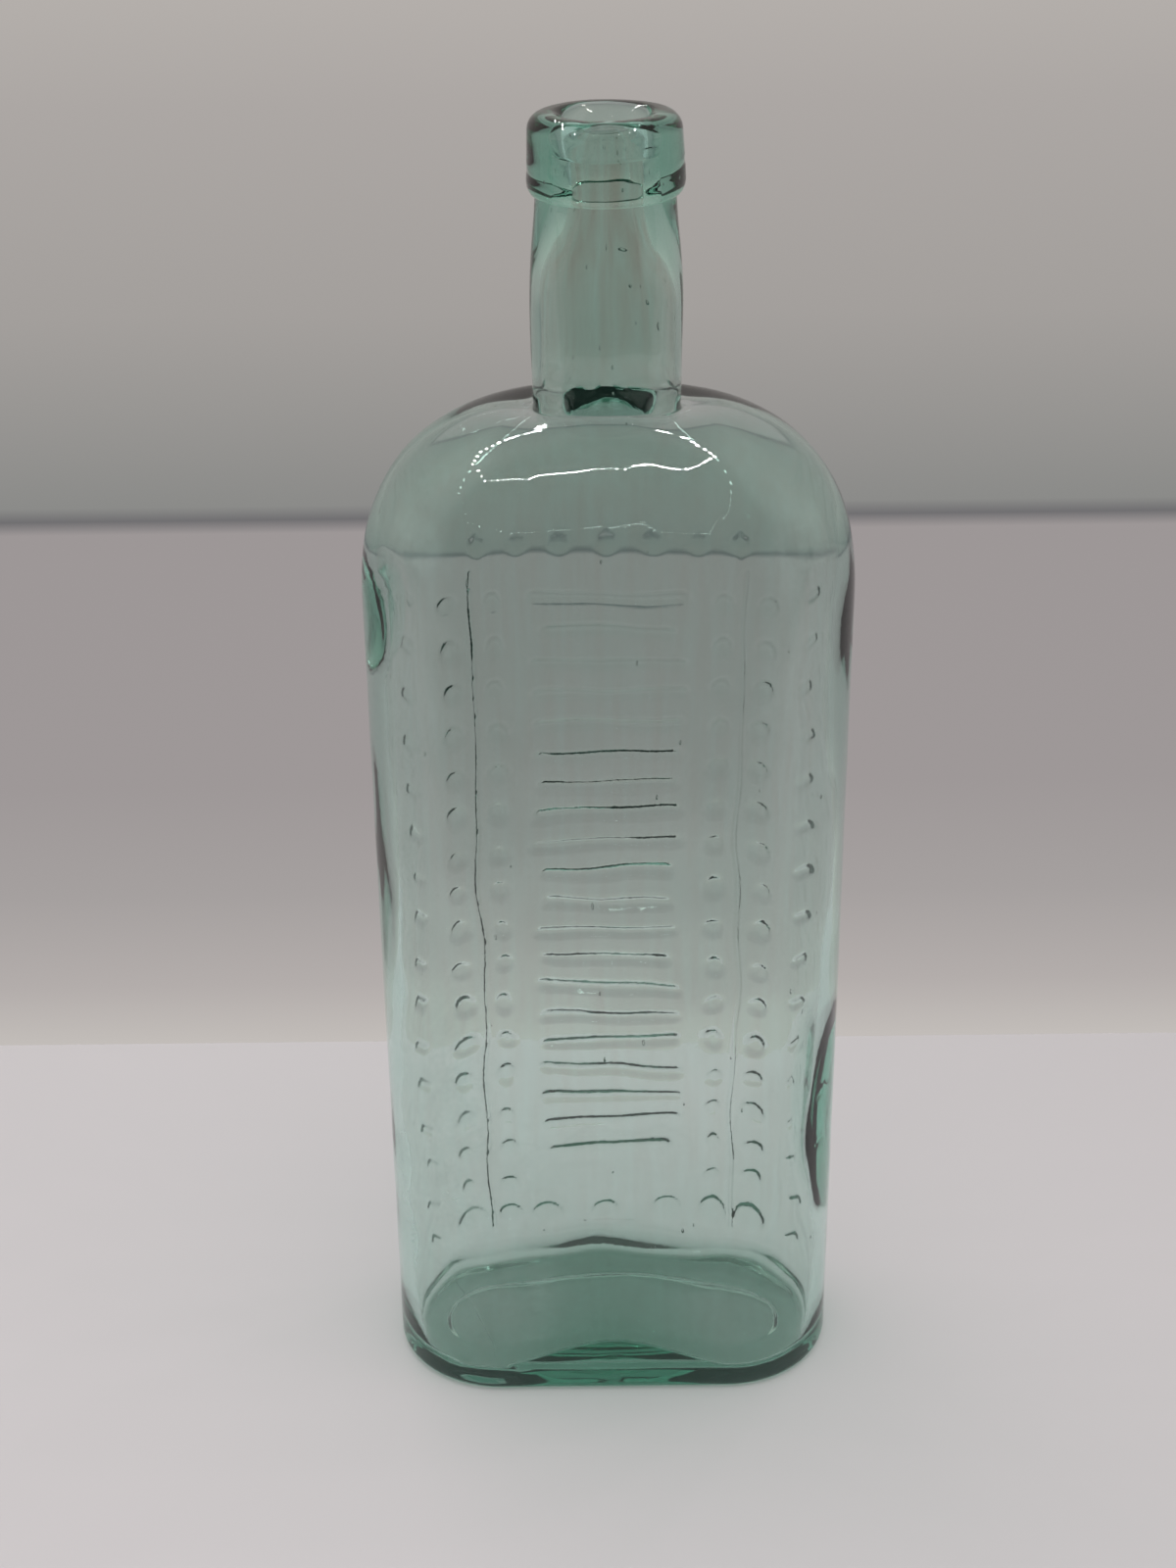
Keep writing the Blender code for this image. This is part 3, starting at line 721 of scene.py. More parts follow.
def chip_mask(points):
    """1 in the middle of the flake that is missing from the front of the heel, and 0 off it."""
    x, y, height = np.moveaxis(points, 2, 0)
    across = (x - CHIP_PLACE[0]) / CHIP_HALF_SIZE[0]
    up = (height - CHIP_PLACE[1]) / CHIP_HALF_SIZE[1]
    return np.where(y < 0, fade(1 - np.hypot(across, up), CHIP_EDGE), 0.0)


def thick_spots(points):
    """Extra glass inside the two ends."""
    x, y, height = np.moveaxis(points, 2, 0)
    extra = np.zeros_like(x)
    for end, middle, half_height, half_width, depth in THICK_SPOTS:
        off = np.hypot((height - middle) / half_height, y / half_width)
        extra += np.where(x * end > 0, depth * fade(1 - off, SPOT_EDGE), 0.0)
    return extra


print("deepest thick spot:", round(max(spot[-1] for spot in THICK_SPOTS) / MM, 1), "mm of extra glass")

# %% [markdown]
# At the foot of the neck the photographed bottle shows a dark arch with a paler middle. It is a drop of
# glass that hangs behind the foot of the bore: its upright face turns all light back to the front, which
# is dark, and below it one looks into the hollow again. Round the drop the ceiling is drawn up a little,
# as glass flows towards a drop. Behind the neck the fold of the shoulder is worn round, and without that
# its sharp corner would run across the neck as a second dark band.

# %% Fold and drop at the foot of the neck
FOLD_REACH = 8.0 * MM
FOLD_ROUNDS = 40
FOLD_HALF_WIDTH = 12.0 * MM
FOLD_SIDE_EDGE = 0.4
FOLD_END_EDGE = 0.6
DROP_FACE = 7.0 * MM
DROP_MIDDLE = BODY_HEIGHT - 4.4 * MM
DROP_HALF_SIZE = (6.6 * MM, 4.8 * MM)
DROP_EDGE = 0.35
HOLLOW_RISE = 0.8 * MM
HOLLOW_REACH = 5.0 * MM
HOLLOW_DEPTH = 5.0 * MM


def softened(grid):
    """The skin with the fold at the foot of the neck rounded off behind, where the mould had worn."""
    soft = grid.copy()
    for _ in range(FOLD_ROUNDS):
        soft[1:-1] = (soft[:-2] + 2 * soft[1:-1] + soft[2:]) / 4
    x, y, height = np.moveaxis(grid, 2, 0)
    behind = np.where(y > 0, fade(1 - np.abs(x) / FOLD_HALF_WIDTH, FOLD_SIDE_EDGE), 0.0)
    near = fade(1 - np.abs(height - BODY_HEIGHT) / FOLD_REACH, FOLD_END_EDGE)
    return mix(grid, soft, (behind * near)[:, :, None])


def with_drop(grid):
    """The inner skin with a drop of glass behind the bore's foot, and a hollow round that drop."""
    x, y, height = np.moveaxis(grid, 2, 0)
    ring = fade(np.hypot(x, y) - BORE_HALF_WIDTH, HOLLOW_REACH)
    under_top = fade(HOLLOW_DEPTH - (BODY_HEIGHT - height), HOLLOW_DEPTH / 2)
    height = height + HOLLOW_RISE * ring * under_top * fade(y, HOLLOW_REACH)
    off = np.hypot(x / DROP_HALF_SIZE[0], (height - DROP_MIDDLE) / DROP_HALF_SIZE[1])
    share = fade(1 - off, DROP_EDGE) * (y > DROP_FACE)
    return np.stack([x, mix(y, DROP_FACE, share), height], axis=2)


outside = softened(outside)
inside = with_drop(softened(inside))
print("the drop's face stands", round(DROP_FACE / MM, 1), "mm behind the bottle's axis")

# %% [markdown]
# Now both skins get their shape. The outer one is lifted by the pattern and sinks by the ripples, and
# the inner one swings to both sides of its even wall. Both stay calm where another piece begins.

# %% Shape both skins
CALM_ENDS = 4 * MM
RIM_CALM = 3 * MM
NECK_CALM = 3 * MM
NECK_BLEND = 6 * MM


def away_from_axis(normal, skin):
    """How much the normals point away from the middles of their levels: below 0 is inwards."""
    return np.mean(np.sum(normal * (skin - skin.mean(axis=1, keepdims=True)), axis=2))


outward = normals_of(outside)
height_grid = outside[:, :, 2]
girth_grid = np.broadcast_to(along * HALF_GIRTH, height_grid.shape)
on_back = np.broadcast_to(side > 0, height_grid.shape) & (height_grid > HEEL_RADIUS)
lift = np.where(on_back, pattern_height(girth_grid, height_grid), 0.0)
on_wall = fade(height_grid - HEEL_RADIUS, CALM_ENDS) * fade(LIP_FOOT - height_grid, CALM_ENDS)
sink = OUTER_RIPPLE * (1 + ripple(outside, OUTER_WAVE, OUTER_TALL)) * on_wall
on_neck = fade(height_grid - BODY_HEIGHT - NECK_CALM, NECK_BLEND) * on_wall
sink += NECK_STREAK * (1 + ripple(outside, NECK_WAVE, NECK_TALL)) * on_neck
sink += CHIP_DEPTH * chip_mask(outside)
if away_from_axis(outward, outside) < 0:
    outward = -outward
outside_shaped = outside + outward * (lift - np.maximum(sink, 0.0))[:, :, None]

inward = normals_of(inside)
if away_from_axis(inward, inside) > 0:
    inward = -inward
inner_height = inside[:, :, 2]
in_neck = fade(inner_height - BODY_HEIGHT, CALM_ENDS)
swing = THICKNESS_SWING * ripple(inside, THICKNESS_WAVE) * (1 - in_neck)
swing += INNER_RIPPLE * ripple(inside, INNER_WAVE, INNER_TALL)
swing += BORE_STREAK * ripple(inside, BORE_WAVE, BORE_TALL) * in_neck
swing += thick_spots(inside)
inside_shaped = inside + inward * (swing * fade(RIM - inner_height, RIM_CALM))[:, :, None]
print("wall thickness varies by", round(float(np.ptp(swing)) / MM, 2), "mm")

# %% [markdown]
# Old glass is full of seeds, small bubbles drawn out along the bottle. A bubble could be a dark speck in
# the material, but a real one has a bright and a dark edge, because light leaves the glass and enters
# it again. So each seed is a closed cavity inside the body's own mesh, and its faces point inwards, to
# the air in it.

# %% Seeds
SEED_COUNT = 46
NECK_SEED_COUNT = 22
SEED_RADIUS = 0.16 * MM
SEED_TIMES = (0.6, 1.7)
SEED_STRETCH = (1.2, 3.0)
SEED_DEPTH_SHARES = (0.35, 0.65)
SEED_SIDES = 8
SEED_LEVELS = 5

bubbles = np.random.default_rng(5)


def cavity(middle, radii, first):
    """Points and faces of one bubble. Its faces point inwards."""
    points = [middle - np.array([0, 0, radii[2]])]
    for lean in np.linspace(-math.pi / 2, math.pi / 2, SEED_LEVELS + 2)[1:-1]:
        for turn in np.arange(SEED_SIDES) * 2 * math.pi / SEED_SIDES:
            level_radius = math.cos(lean)
            spread = (level_radius * math.cos(turn), level_radius * math.sin(turn), math.sin(lean))
            points.append(middle + np.array(spread) * radii)
    points.append(middle + np.array([0, 0, radii[2]]))
    faces = []
    for row in range(SEED_LEVELS - 1):
        for turn in range(SEED_SIDES):
            a = first + 1 + row * SEED_SIDES + turn
            b = first + 1 + row * SEED_SIDES + (turn + 1) % SEED_SIDES
            faces.append((a, a + SEED_SIDES, b + SEED_SIDES, b))
    top = first + len(points) - 1
    for turn in range(SEED_SIDES):
        a, b = first + 1 + turn, first + 1 + (turn + 1) % SEED_SIDES
        last_row = (SEED_LEVELS - 1) * SEED_SIDES
        faces.append((first, a, b))
        faces.append((top, b + last_row, a + last_row))
    return points, faces


def seeds(skin, normal, count, first_point):
    """Bubbles spread at random under a skin, each drawn out along the bottle."""
    points, faces = [], []
    for _ in range(count):
        row, column = bubbles.integers(0, skin.shape[0]), bubbles.integers(0, skin.shape[1])
        radius = SEED_RADIUS * bubbles.uniform(*SEED_TIMES)
        depth = WALL * bubbles.uniform(*SEED_DEPTH_SHARES)
        middle = skin[row, column] - normal[row, column] * depth
        radii = np.array([radius, radius, radius * bubbles.uniform(*SEED_STRETCH)])
        more_points, more_faces = cavity(middle, radii, first_point + len(points))
        points += more_points
        faces += more_faces
    return points, faces


print("a common seed is", round(2 * SEED_RADIUS / MM, 2), "mm across")

# %% [markdown]
# The base has a crack in its left end. A drawn line would vanish against the glass, while a real crack
# is a leaf of air that mirrors light, so it is built as one: thinner than paper, upright, and closed.

# %% A crack in the base
CRACK_WIDTH = 0.06 * MM
CRACK_FOOT = 2.5 * MM
CRACK_COVER = 0.3 * MM
CRACK_STATIONS = 24
CRACK_PLACES_MM = ((-32.4, 9.5), (-28.2, 1.7), (-25.6, -4.3), (-23.3, -10.2), (-22.9, -13.9))


def crack(first):
    """Points and faces of a leaf of air that stands in the base, as a crack does."""
    stations = np.linspace(0, len(CRACK_PLACES_MM) - 1, CRACK_STATIONS)
    knots = np.arange(len(CRACK_PLACES_MM))
    axes = np.array(CRACK_PLACES_MM).T * MM
    path = np.stack([np.interp(stations, knots, axis) for axis in axes], axis=1)
    ahead = np.gradient(path, axis=0)
    across = np.stack([-ahead[:, 1], ahead[:, 0]], axis=1)
    across *= CRACK_WIDTH / 2 / np.linalg.norm(across, axis=1, keepdims=True)
    points = []
    for place, off in zip(path, across):
        top = float(floor_height(*place)) - CRACK_COVER
        left, right = place - off, place + off
        for edge, height in ((left, CRACK_FOOT), (right, CRACK_FOOT), (right, top), (left, top)):
            points.append(np.array([*edge, height]))
    faces = [[first, first + 3, first + 2, first + 1]]
    for row in range(first, first + 4 * (CRACK_STATIONS - 1), 4):
        for corner in range(4):
            beside = (corner + 1) % 4
            faces.append([row + corner, row + 4 + corner, row + 4 + beside, row + beside])
    last = first + 4 * (CRACK_STATIONS - 1)
    faces.append([last, last + 1, last + 2, last + 3])
    return points, [face[::-1] for face in faces]


crack_steps = np.diff(CRACK_PLACES_MM, axis=0)
print("the crack is", round(float(np.linalg.norm(crack_steps, axis=1).sum()), 1), "mm long")

# %% [markdown]
# The two skins are now sewn into one closed mesh: quads between neighbouring levels, a fan at the middle
# of the underside and one at the middle of the floor, and a strip over the rim of the neck. A Solidify
# modifier would be shorter, but it gives an even wall, and here each skin has a shape of its own.

# %% Sew the blown body
UNDER_LIP_LEVELS = 3  # top levels of the neck that stay free of seeds, because the lip begins there


def sewn_quads(first, levels, count):
    """Quads between levels of count points each, numbered from first."""
    here = first + np.arange(levels - 1)[:, None] * count + np.arange(count)
    after = first + np.arange(levels - 1)[:, None] * count + (np.arange(count) + 1) % count
    return np.stack([here, here + count, after + count, after], axis=2).reshape(-1, 4).tolist()


outer_count, inner_count = outside.shape[1], inside.shape[1]
vertices = outside_shaped.reshape(-1, 3).tolist() + inside_shaped.reshape(-1, 3).tolist()
inner_first = outside.shape[0] * outer_count
outer_faces = sewn_quads(0, outside.shape[0], outer_count)
inner_faces = sewn_quads(inner_first, inside.shape[0], inner_count)
rim_first = (outside.shape[0] - 1) * outer_count
rim_faces = []
for step in range(inner_count):
    outer_step = [rim_first + (2 * step + extra) % outer_count for extra in (2, 1, 0)]
    inner_step = [inner_first + step, inner_first + (step + 1) % inner_count]
    rim_faces.append(outer_step + inner_step)
under_pole, floor_pole = len(vertices), len(vertices) + 1
vertices += [[0.0, -RELIEF / 2, PANEL_RISE], [0.0, 0.0, float(floor_height(0.0, 0.0))]]
floor_first = inner_first + (inside.shape[0] - 1) * inner_count
pole_faces = [[under_pole, turn, (turn + 1) % outer_count] for turn in range(outer_count)]
floor_faces = [
    [floor_pole, floor_first + (turn + 1) % inner_count, floor_first + turn]
    for turn in range(inner_count)
]
heel_top = PANEL_LEVELS + STEP_LEVELS + LEDGE_LEVELS + HEEL_LEVELS
neck_foot = outside.shape[0] - NECK_LEVELS
cavity_faces = []
for seeded, count in (
    (slice(heel_top, neck_foot), SEED_COUNT),
    (slice(neck_foot, outside.shape[0] - UNDER_LIP_LEVELS), NECK_SEED_COUNT),
):
    points, faces = seeds(outside_shaped[seeded], outward[seeded], count, len(vertices))
    vertices += [list(point) for point in points]
    cavity_faces += faces
points, faces = crack(len(vertices))
vertices += [list(point) for point in points]
cavity_faces += faces
print(len(vertices), "points and", SEED_COUNT + NECK_SEED_COUNT, "seeds in the blown body")

# %% [markdown]
# Each face also carries three marks that the material reads. "inner" says that it belongs to the inside,
# where the stain of the old contents sits. "worn" says that it belongs to the scuffed underside, and the
# material also paints shade there: light that passes it is dimmed and tinted green, which darkens the
# paper under the base. "fused" says that it lies where lip and neck melted into one another: no light
# turns there on the real bottle, so the material lets it straight through. Marks on faces need no second
# material and no texture map.

# %% Make the body's object
SHARP_DEGREES = 60


def glass_object(name, vertices, face_groups):
    """A smooth mesh from groups of (faces, inner mark, fused mark, worn mark)."""
    faces = [face for group in face_groups for face in group[0]]
    mesh = bpy.data.meshes.new(name)
    mesh.from_pydata(vertices, [], faces)
    for place, mark in ((1, "inner"), (2, "fused"), (3, "worn")):
        values = [float(group[place]) for group in face_groups for _ in group[0]]
        mesh.attributes.new(mark, "FLOAT", "FACE").data.foreach_set("value", values)
    mesh.shade_smooth()
    mesh.set_sharp_from_angle(angle=math.radians(SHARP_DEGREES))
    mesh.validate()
    mesh.update()
    piece = bpy.data.objects.new(name, mesh)
    bpy.context.scene.collection.objects.link(piece)
    return piece


fused_split = len(outer_faces) - outer_count  # the neck's last row of faces is inside the lip
worn_and_shaded_split = (PANEL_LEVELS + STEP_LEVELS + LEDGE_LEVELS + HEEL_LEVELS // 2) * outer_count
body = glass_object(
    "bottle_body_glass",
    vertices,
    [
        (outer_faces[:worn_and_shaded_split], 0, 0, 1),
        (outer_faces[worn_and_shaded_split:fused_split], 0, 0, 0),
        (outer_faces[fused_split:], 0, 1, 0),
        (pole_faces, 0, 0, 1),
        (rim_faces, 0, 1, 0),
        (inner_faces, 1, 0, 0),
        (floor_faces, 1, 0, 0),
        (cavity_faces, 0, 0, 0),
    ],
)
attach(body, "root")
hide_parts("glass_body")
print("body mesh:", len(body.data.polygons), "faces")

# %% [markdown]
# The lip is a turned ring that hugs the neck and closes over its rim. Its section runs from the lower
# edge up the outside, over the round top, down the flared mouth, and back along the rim and the neck. A
# torus or a bevelled cylinder could stand in for it, but its two roundings and its flare all differ.

# %% Section of the lip
JOINT_GAP = 0.02 * MM
LIP_FOOT_RADIUS = 12.4 * MM
LIP_TOP_RADIUS = 12.0 * MM
LIP_FOOT_ROUND = 2.4 * MM
LIP_TOP_ROUND = 2.6 * MM
MOUTH_RADIUS = 6.1 * MM
MOUTH_FLARE = 2.4 * MM
MOUTH_FLARE_DEPTH = 3.4 * MM
ROUND_STEPS = 12
STRAIGHT_STEPS = 22


def lip_section():
    """Radius, height and fused mark round the lip's section, from its lower edge outwards."""
    inner = NECK_TOP_RADIUS + JOINT_GAP
    quarter = np.linspace(0, math.pi / 2, ROUND_STEPS)
    points = [(inner, LIP_FOOT, 0)]
    for turn in quarter[1:]:
        radius = mix(inner, LIP_FOOT_RADIUS, math.sin(turn))
        points.append((radius, LIP_FOOT + LIP_FOOT_ROUND * (1 - math.cos(turn)), 0))
    for share in np.linspace(0, 1, STRAIGHT_STEPS + 1)[1:-1]:
        low, high = LIP_FOOT + LIP_FOOT_ROUND, HEIGHT - LIP_TOP_ROUND
        points.append((mix(LIP_FOOT_RADIUS, LIP_TOP_RADIUS, share), mix(low, high, share), 0))
    flare_radius = MOUTH_RADIUS + MOUTH_FLARE
    top_round = min(LIP_TOP_ROUND, LIP_TOP_RADIUS - flare_radius)
    for turn in quarter:
        radius = LIP_TOP_RADIUS - top_round * (1 - math.cos(turn))
        points.append((radius, HEIGHT - LIP_TOP_ROUND * (1 - math.sin(turn)), 0))
    for turn in quarter:
        radius = flare_radius - MOUTH_FLARE * math.sin(turn)
        points.append((radius, HEIGHT - MOUTH_FLARE_DEPTH * (1 - math.cos(turn)), 0))
    seat = RIM + JOINT_GAP
    flare_foot = HEIGHT - MOUTH_FLARE_DEPTH
    for share in np.linspace(0, 1, STRAIGHT_STEPS // 2 + 1)[1:]:
        points.append((mix(MOUTH_RADIUS, THROAT_RADIUS, share), mix(flare_foot, seat, share), 0))
    points[-1] = (*points[-1][:2], 1)
    points.append((inner, seat, 1))
    return points


section = lip_section()
print("the lip's section has", len(section), "points")

# %% [markdown]
# A lathe-like spin of the section makes the ring, as the lipping tool did on the real one. The tool
# never ran quite true, so the section swells and shrinks a little on the way round, and at both sides
# there is a shallow lap, where the hot glass closed on itself. Only where the ring touches the neck does
# it stay true, so that the two pieces fit. The ring also has a few seeds of its own.

# %% The applied lip
LIP_SIDES = 150
HELD_GAPS = 3  # joint gaps between the neck and the first points that may wander
CLEAR_GAPS = 2  # the same above the rim
LIP_WANDER = 0.14 * MM
BROAD_WAVES, BROAD_START = 2, 0.8
FINE_WAVES, FINE_START, FINE_SHARE = 5, 2.0, 0.6
FINE_TWIST = 3 * MM
LAP_HEIGHT = 4.6 * MM
LAP_SWING = 1.3 * MM
LAP_START = 0.5
LAP_WIDTH = 0.45 * MM
LAP_DEPTH = 0.16 * MM
LIP_SEED_COUNT = 12
LIP_SEED_TIMES = (0.6, 1.6)
LIP_SEED_STRETCH = 2


def tooled(radius, height, turn):
    """The lip's radius where the tool left it: out of true, with a lap at both sides."""
    broad = math.sin(BROAD_WAVES * turn + BROAD_START)
    fine = FINE_SHARE * math.sin(FINE_WAVES * turn + FINE_START + height / FINE_TWIST)
    wander = LIP_WANDER * (broad + fine)
    if radius < LIP_FOOT_RADIUS - LIP_TOP_ROUND:
        return radius + wander
    lap = LIP_FOOT + LAP_HEIGHT + LAP_SWING * math.sin(turn + LAP_START)
    at_side = math.cos(turn) ** 2
    groove = LAP_DEPTH * at_side * math.exp(-(((height - lap) / LAP_WIDTH) ** 2))
    return radius + wander - groove


lip_points, lip_faces, lip_fused = [], [], []
held = NECK_TOP_RADIUS + HELD_GAPS * JOINT_GAP
for radius, height, _ in section:
    free = radius > held or height > RIM + CLEAR_GAPS * JOINT_GAP
    for turn in np.arange(LIP_SIDES) * 2 * math.pi / LIP_SIDES:
        reach = tooled(radius, height, turn) if free else radius
        lip_points.append((reach * math.cos(turn), reach * math.sin(turn), height))
for row, (_, _, fused) in enumerate(section):
    after = (row + 1) % len(section)
    for turn in range(LIP_SIDES):
        beside = (turn + 1) % LIP_SIDES
        corners = [(row, turn), (row, beside), (after, beside), (after, turn)]
        (lip_fused if fused else lip_faces).append([a * LIP_SIDES + b for a, b in corners])
for _ in range(LIP_SEED_COUNT):
    turn = bubbles.uniform(0, 2 * math.pi)
    radius = SEED_RADIUS * bubbles.uniform(*LIP_SEED_TIMES)
    spread = (NECK_TOP_RADIUS + LIP_TOP_RADIUS) / 2 + JOINT_GAP
    height = bubbles.uniform(LIP_FOOT + LIP_FOOT_ROUND, RIM - LIP_FOOT_ROUND)
    middle = np.array([spread * math.cos(turn), spread * math.sin(turn), height])
    radii = np.array([radius, radius, LIP_SEED_STRETCH * radius])
    points, faces = cavity(middle, radii, len(lip_points))
    lip_points += points
    lip_faces += faces
lip = glass_object("lip_ring_glass", lip_points, [(lip_faces, 0, 0, 0), (lip_fused, 0, 1, 0)])
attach(lip, "root")
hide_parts("applied_lip")
print("lip mesh:", len(lip.data.polygons), "faces")

# %% [markdown]
# What the bottle held has left its marks inside: cloudy stains, deepest low in the left end and faint
# under both shoulders, and a thin pinkish film that ran down from the neck in streaks.
# Clouds of noise inside soft, stretched balls of influence give the stains, and noise that is drawn out
# upwards gives the streaks. Both follow from places in the glass, so no picture has to be laid on it.

# %% Stains and film inside
STAIN_GRAIN = 5 * MM
STAIN_DETAIL = 5.0
STAIN_ROUGHNESS = 0.6
CLOUD_FROM, CLOUD_TO = 0.4, 0.7
STAIN_CORE = 0.3
STAINS = (  # middle in mm, reach in mm, strength
    ((-29, 0, 42), (9, 30, 42), 0.5),
    ((-29, -8, 167), (7, 14, 9), 0.22),
    ((28, -8, 167), (7, 14, 10), 0.22),
    ((-16, 0, 25), (8, 30, 20), 0.25),
)
LEAST_HAZE = 0.006
FILM_COLOUR = "f6d6d3"
BODY_FILM = 0.25
STREAK_WIDTH = 1.8 * MM
STREAK_STRETCH = (1.0, 1.0, 0.08)
STREAK_DETAIL = 3.0
STREAK_FROM, STREAK_TO = 0.3, 0.7


def stained(tree, place, strength):
    """How much the dried contents haze the glass at a place."""
    clouds = add_node(
        tree,
        "TexNoise",
        {
            "Vector": place,
            "Scale": 1 / STAIN_GRAIN,
            "Detail": STAIN_DETAIL,
            "Roughness": STAIN_ROUGHNESS,
        },
    ).outputs["Fac"]
    cloud = remapped(tree, clouds, CLOUD_FROM, CLOUD_TO, end=strength)
    stain = 0.0
    for middle, reach, share in STAINS:
        scale = [1 / (size * MM) for size in reach]
        shift = [-place_mm / size for place_mm, size in zip(middle, reach)]
        off = add_node(tree, "VectorMath", {0: place, 1: scale, 2: shift}, operation="MULTIPLY_ADD")
        off = add_node(tree, "VectorMath", {0: off.outputs[0]}, operation="LENGTH").outputs["Value"]
        stain = worked_out(tree, "MULTIPLY_ADD", remapped(tree, off, 1.0, STAIN_CORE), share, stain)
    return worked_out(tree, "ADD", worked_out(tree, "MULTIPLY", cloud, stain), LEAST_HAZE)


def filmed(tree, place):
    """How much of the film lies at a place: streaks that thin out from the neck down to the body."""
    drawn_out = add_node(tree, "VectorMath", {0: place, 1: STREAK_STRETCH}, operation="MULTIPLY")
    streaks = {"Vector": drawn_out.outputs[0], "Scale": 1 / STREAK_WIDTH, "Detail": STREAK_DETAIL}
    streaks = add_node(tree, "TexNoise", streaks).outputs["Fac"]
    run = remapped(tree, streaks, STREAK_FROM, STREAK_TO)
    much = remapped(tree, axis_of(tree, "Object", "Z"), BODY_HEIGHT, LIP_FOOT, start=BODY_FILM)
    return worked_out(tree, "MULTIPLY", run, much)


print(len(STAINS), "stains, the largest", 2 * max(STAINS[0][1]), "mm long")

# %% [markdown]
# Aqua glass is ordinary soda-lime glass whose sand held some iron. Light loses red and a little blue for
# every millimetre that it crosses, so a thin wall looks almost clear and the thick base deep green. That
# is why the colour belongs in the volume and not on the surface: absorption over the real thickness
# paints the dark base, the edges and the neck by itself. The outside is faintly pitted, which breaks up
# the mirror images a little, and the underside is scuffed from standing.
#
# Glass throws a dark shadow if its surface bends light away from the lamps, and a real bottle's shadow
# is pale, so shadow rays go straight through the surface, losing a little at each skin, and the volume
# tints them. Through the scuffed underside they are also dimmed and tinted green: painted shade that
# darkens the paper under the base.

# %% Aqua bottle glass
GLASS_IOR = 1.52
AQUA = "6cd6c0"
AQUA_DENSITY_PER_METRE = 65.0
CLEAN = "ffffff"
DULL_SHARE = 0.6
SCUFFS = 0.03
PIT_GRAIN = 1.6 * MM
PIT_DEPTH = 0.03 * MM
PIT_DETAIL = 3.0
PIT_STRENGTH = 0.15
SKIN_PASSES = "f1f1f1"
# painted shade: light through the scuffed underside is dimmed and tinted green, to darken the paper
# under the base
UNDERSIDE_PAINTED_SHADE = "b6c2bc"


def marked(tree, mark):
    """An output that is 1 on the faces with this mark."""
    return add_node(tree, "Attribute", attribute_name=mark).outputs["Fac"]


def aqua_glass(name, stain_strength):
    """Mould-blown soda-lime glass: smooth, faintly pitted outside, hazed by old contents inside."""
    material, tree = new_material(name)
    place = add_node(tree, "TexCoord").outputs["Object"]
    inner, worn = marked(tree, "inner"), marked(tree, "worn")
    haze = worked_out(tree, "MULTIPLY", stained(tree, place, stain_strength), inner)
    haze = worked_out(tree, "MULTIPLY_ADD", worn, SCUFFS, haze)
    film = worked_out(tree, "MULTIPLY", filmed(tree, place), inner)
    tint = add_node(tree, "MixRGB", {0: film, 1: srgb(CLEAN), 2: srgb(FILM_COLOUR)})
    pits = {"Vector": place, "Scale": 1 / PIT_GRAIN, "Detail": PIT_DETAIL}
    pits = add_node(tree, "TexNoise", pits).outputs["Fac"]
    skin = add_node(tree, "Bump", {"Height": pits, "Strength": PIT_STRENGTH, "Distance": PIT_DEPTH})
    glass = {
        "Base Color": tint.outputs[0],
        "Transmission Weight": worked_out(tree, "SUBTRACT", 1.0, haze),
        "Roughness": worked_out(tree, "MULTIPLY", haze, DULL_SHARE),
        "IOR": GLASS_IOR,
        "Normal": skin.outputs["Normal"],
    }
    glass = add_node(tree, "BsdfPrincipled", glass).outputs[0]
    # light that passes a skin straight loses a little; through the underside it also gets painted shade,
    # dimmed and tinted green
    skin_loss_and_painted_shade = add_node(tree, "MixRGB", {0: worn, 1: srgb(SKIN_PASSES), 2: srgb(UNDERSIDE_PAINTED_SHADE)})
    straight = add_node(tree, "BsdfTransparent", {"Color": skin_loss_and_painted_shade.outputs[0]}).outputs[0]
    lit = blend(tree, any_ray(tree, "Is Shadow Ray", "Is Diffuse Ray"), glass, straight)
    nothing = add_node(tree, "BsdfTransparent").outputs[0]
    surface = blend(tree, marked(tree, "fused"), lit, nothing)
    volume = {"Color": srgb(AQUA), "Density": AQUA_DENSITY_PER_METRE}
    volume = add_node(tree, "VolumeAbsorption", volume).outputs[0]
    add_node(tree, "OutputMaterial", {"Surface": surface, "Volume": volume})
    return material


body.data.materials.append(aqua_glass("mould-blown aqua glass", 1.0))
lip.data.materials.append(aqua_glass("tooled aqua glass", 0.0))
print("absorption:", AQUA_DENSITY_PER_METRE, "per metre")

# %% [markdown]
# The set is a sheet of pale paper under the bottle and another behind it. Clear glass shows its
# surroundings more than itself, so the tones of these sheets matter as much as the glass does: the back
# sheet carries painted light and shade, as if lit from above. It fades from its bottom up to a fold,
# where a painted shadow line runs across it, and grows paler again above. It glows in these written
# tones when it is seen, mirrored and refracted, and only from its front, so that it never hides the
# bottle.
#
# In front of the bottle the table ends, and beyond its edge the floor glows in a dark teal tone for
# light
# that the glass has turned back: a painted reflection of a dim room, which draws the dark lines inside
# the glass. Only such light meets it, which leaves the floor pale and lets the bottle stay bright when
# it is seen from behind.

# %% Floor and back sheet
FLOOR_COLOUR = "ccc6c7"
FLOOR_REACH = 2.5
PAPER_ROUGHNESS = 0.9
TABLE_EDGE = (-150 * MM, -260 * MM)
# painted reflection: the dark teal tone of a dim room, seen only by light that the glass has turned back
PAINTED_ROOM_TONE = "305146"
SHEET_PLACE = 102 * MM
SHEET_HALF_WIDTH = 450 * MM
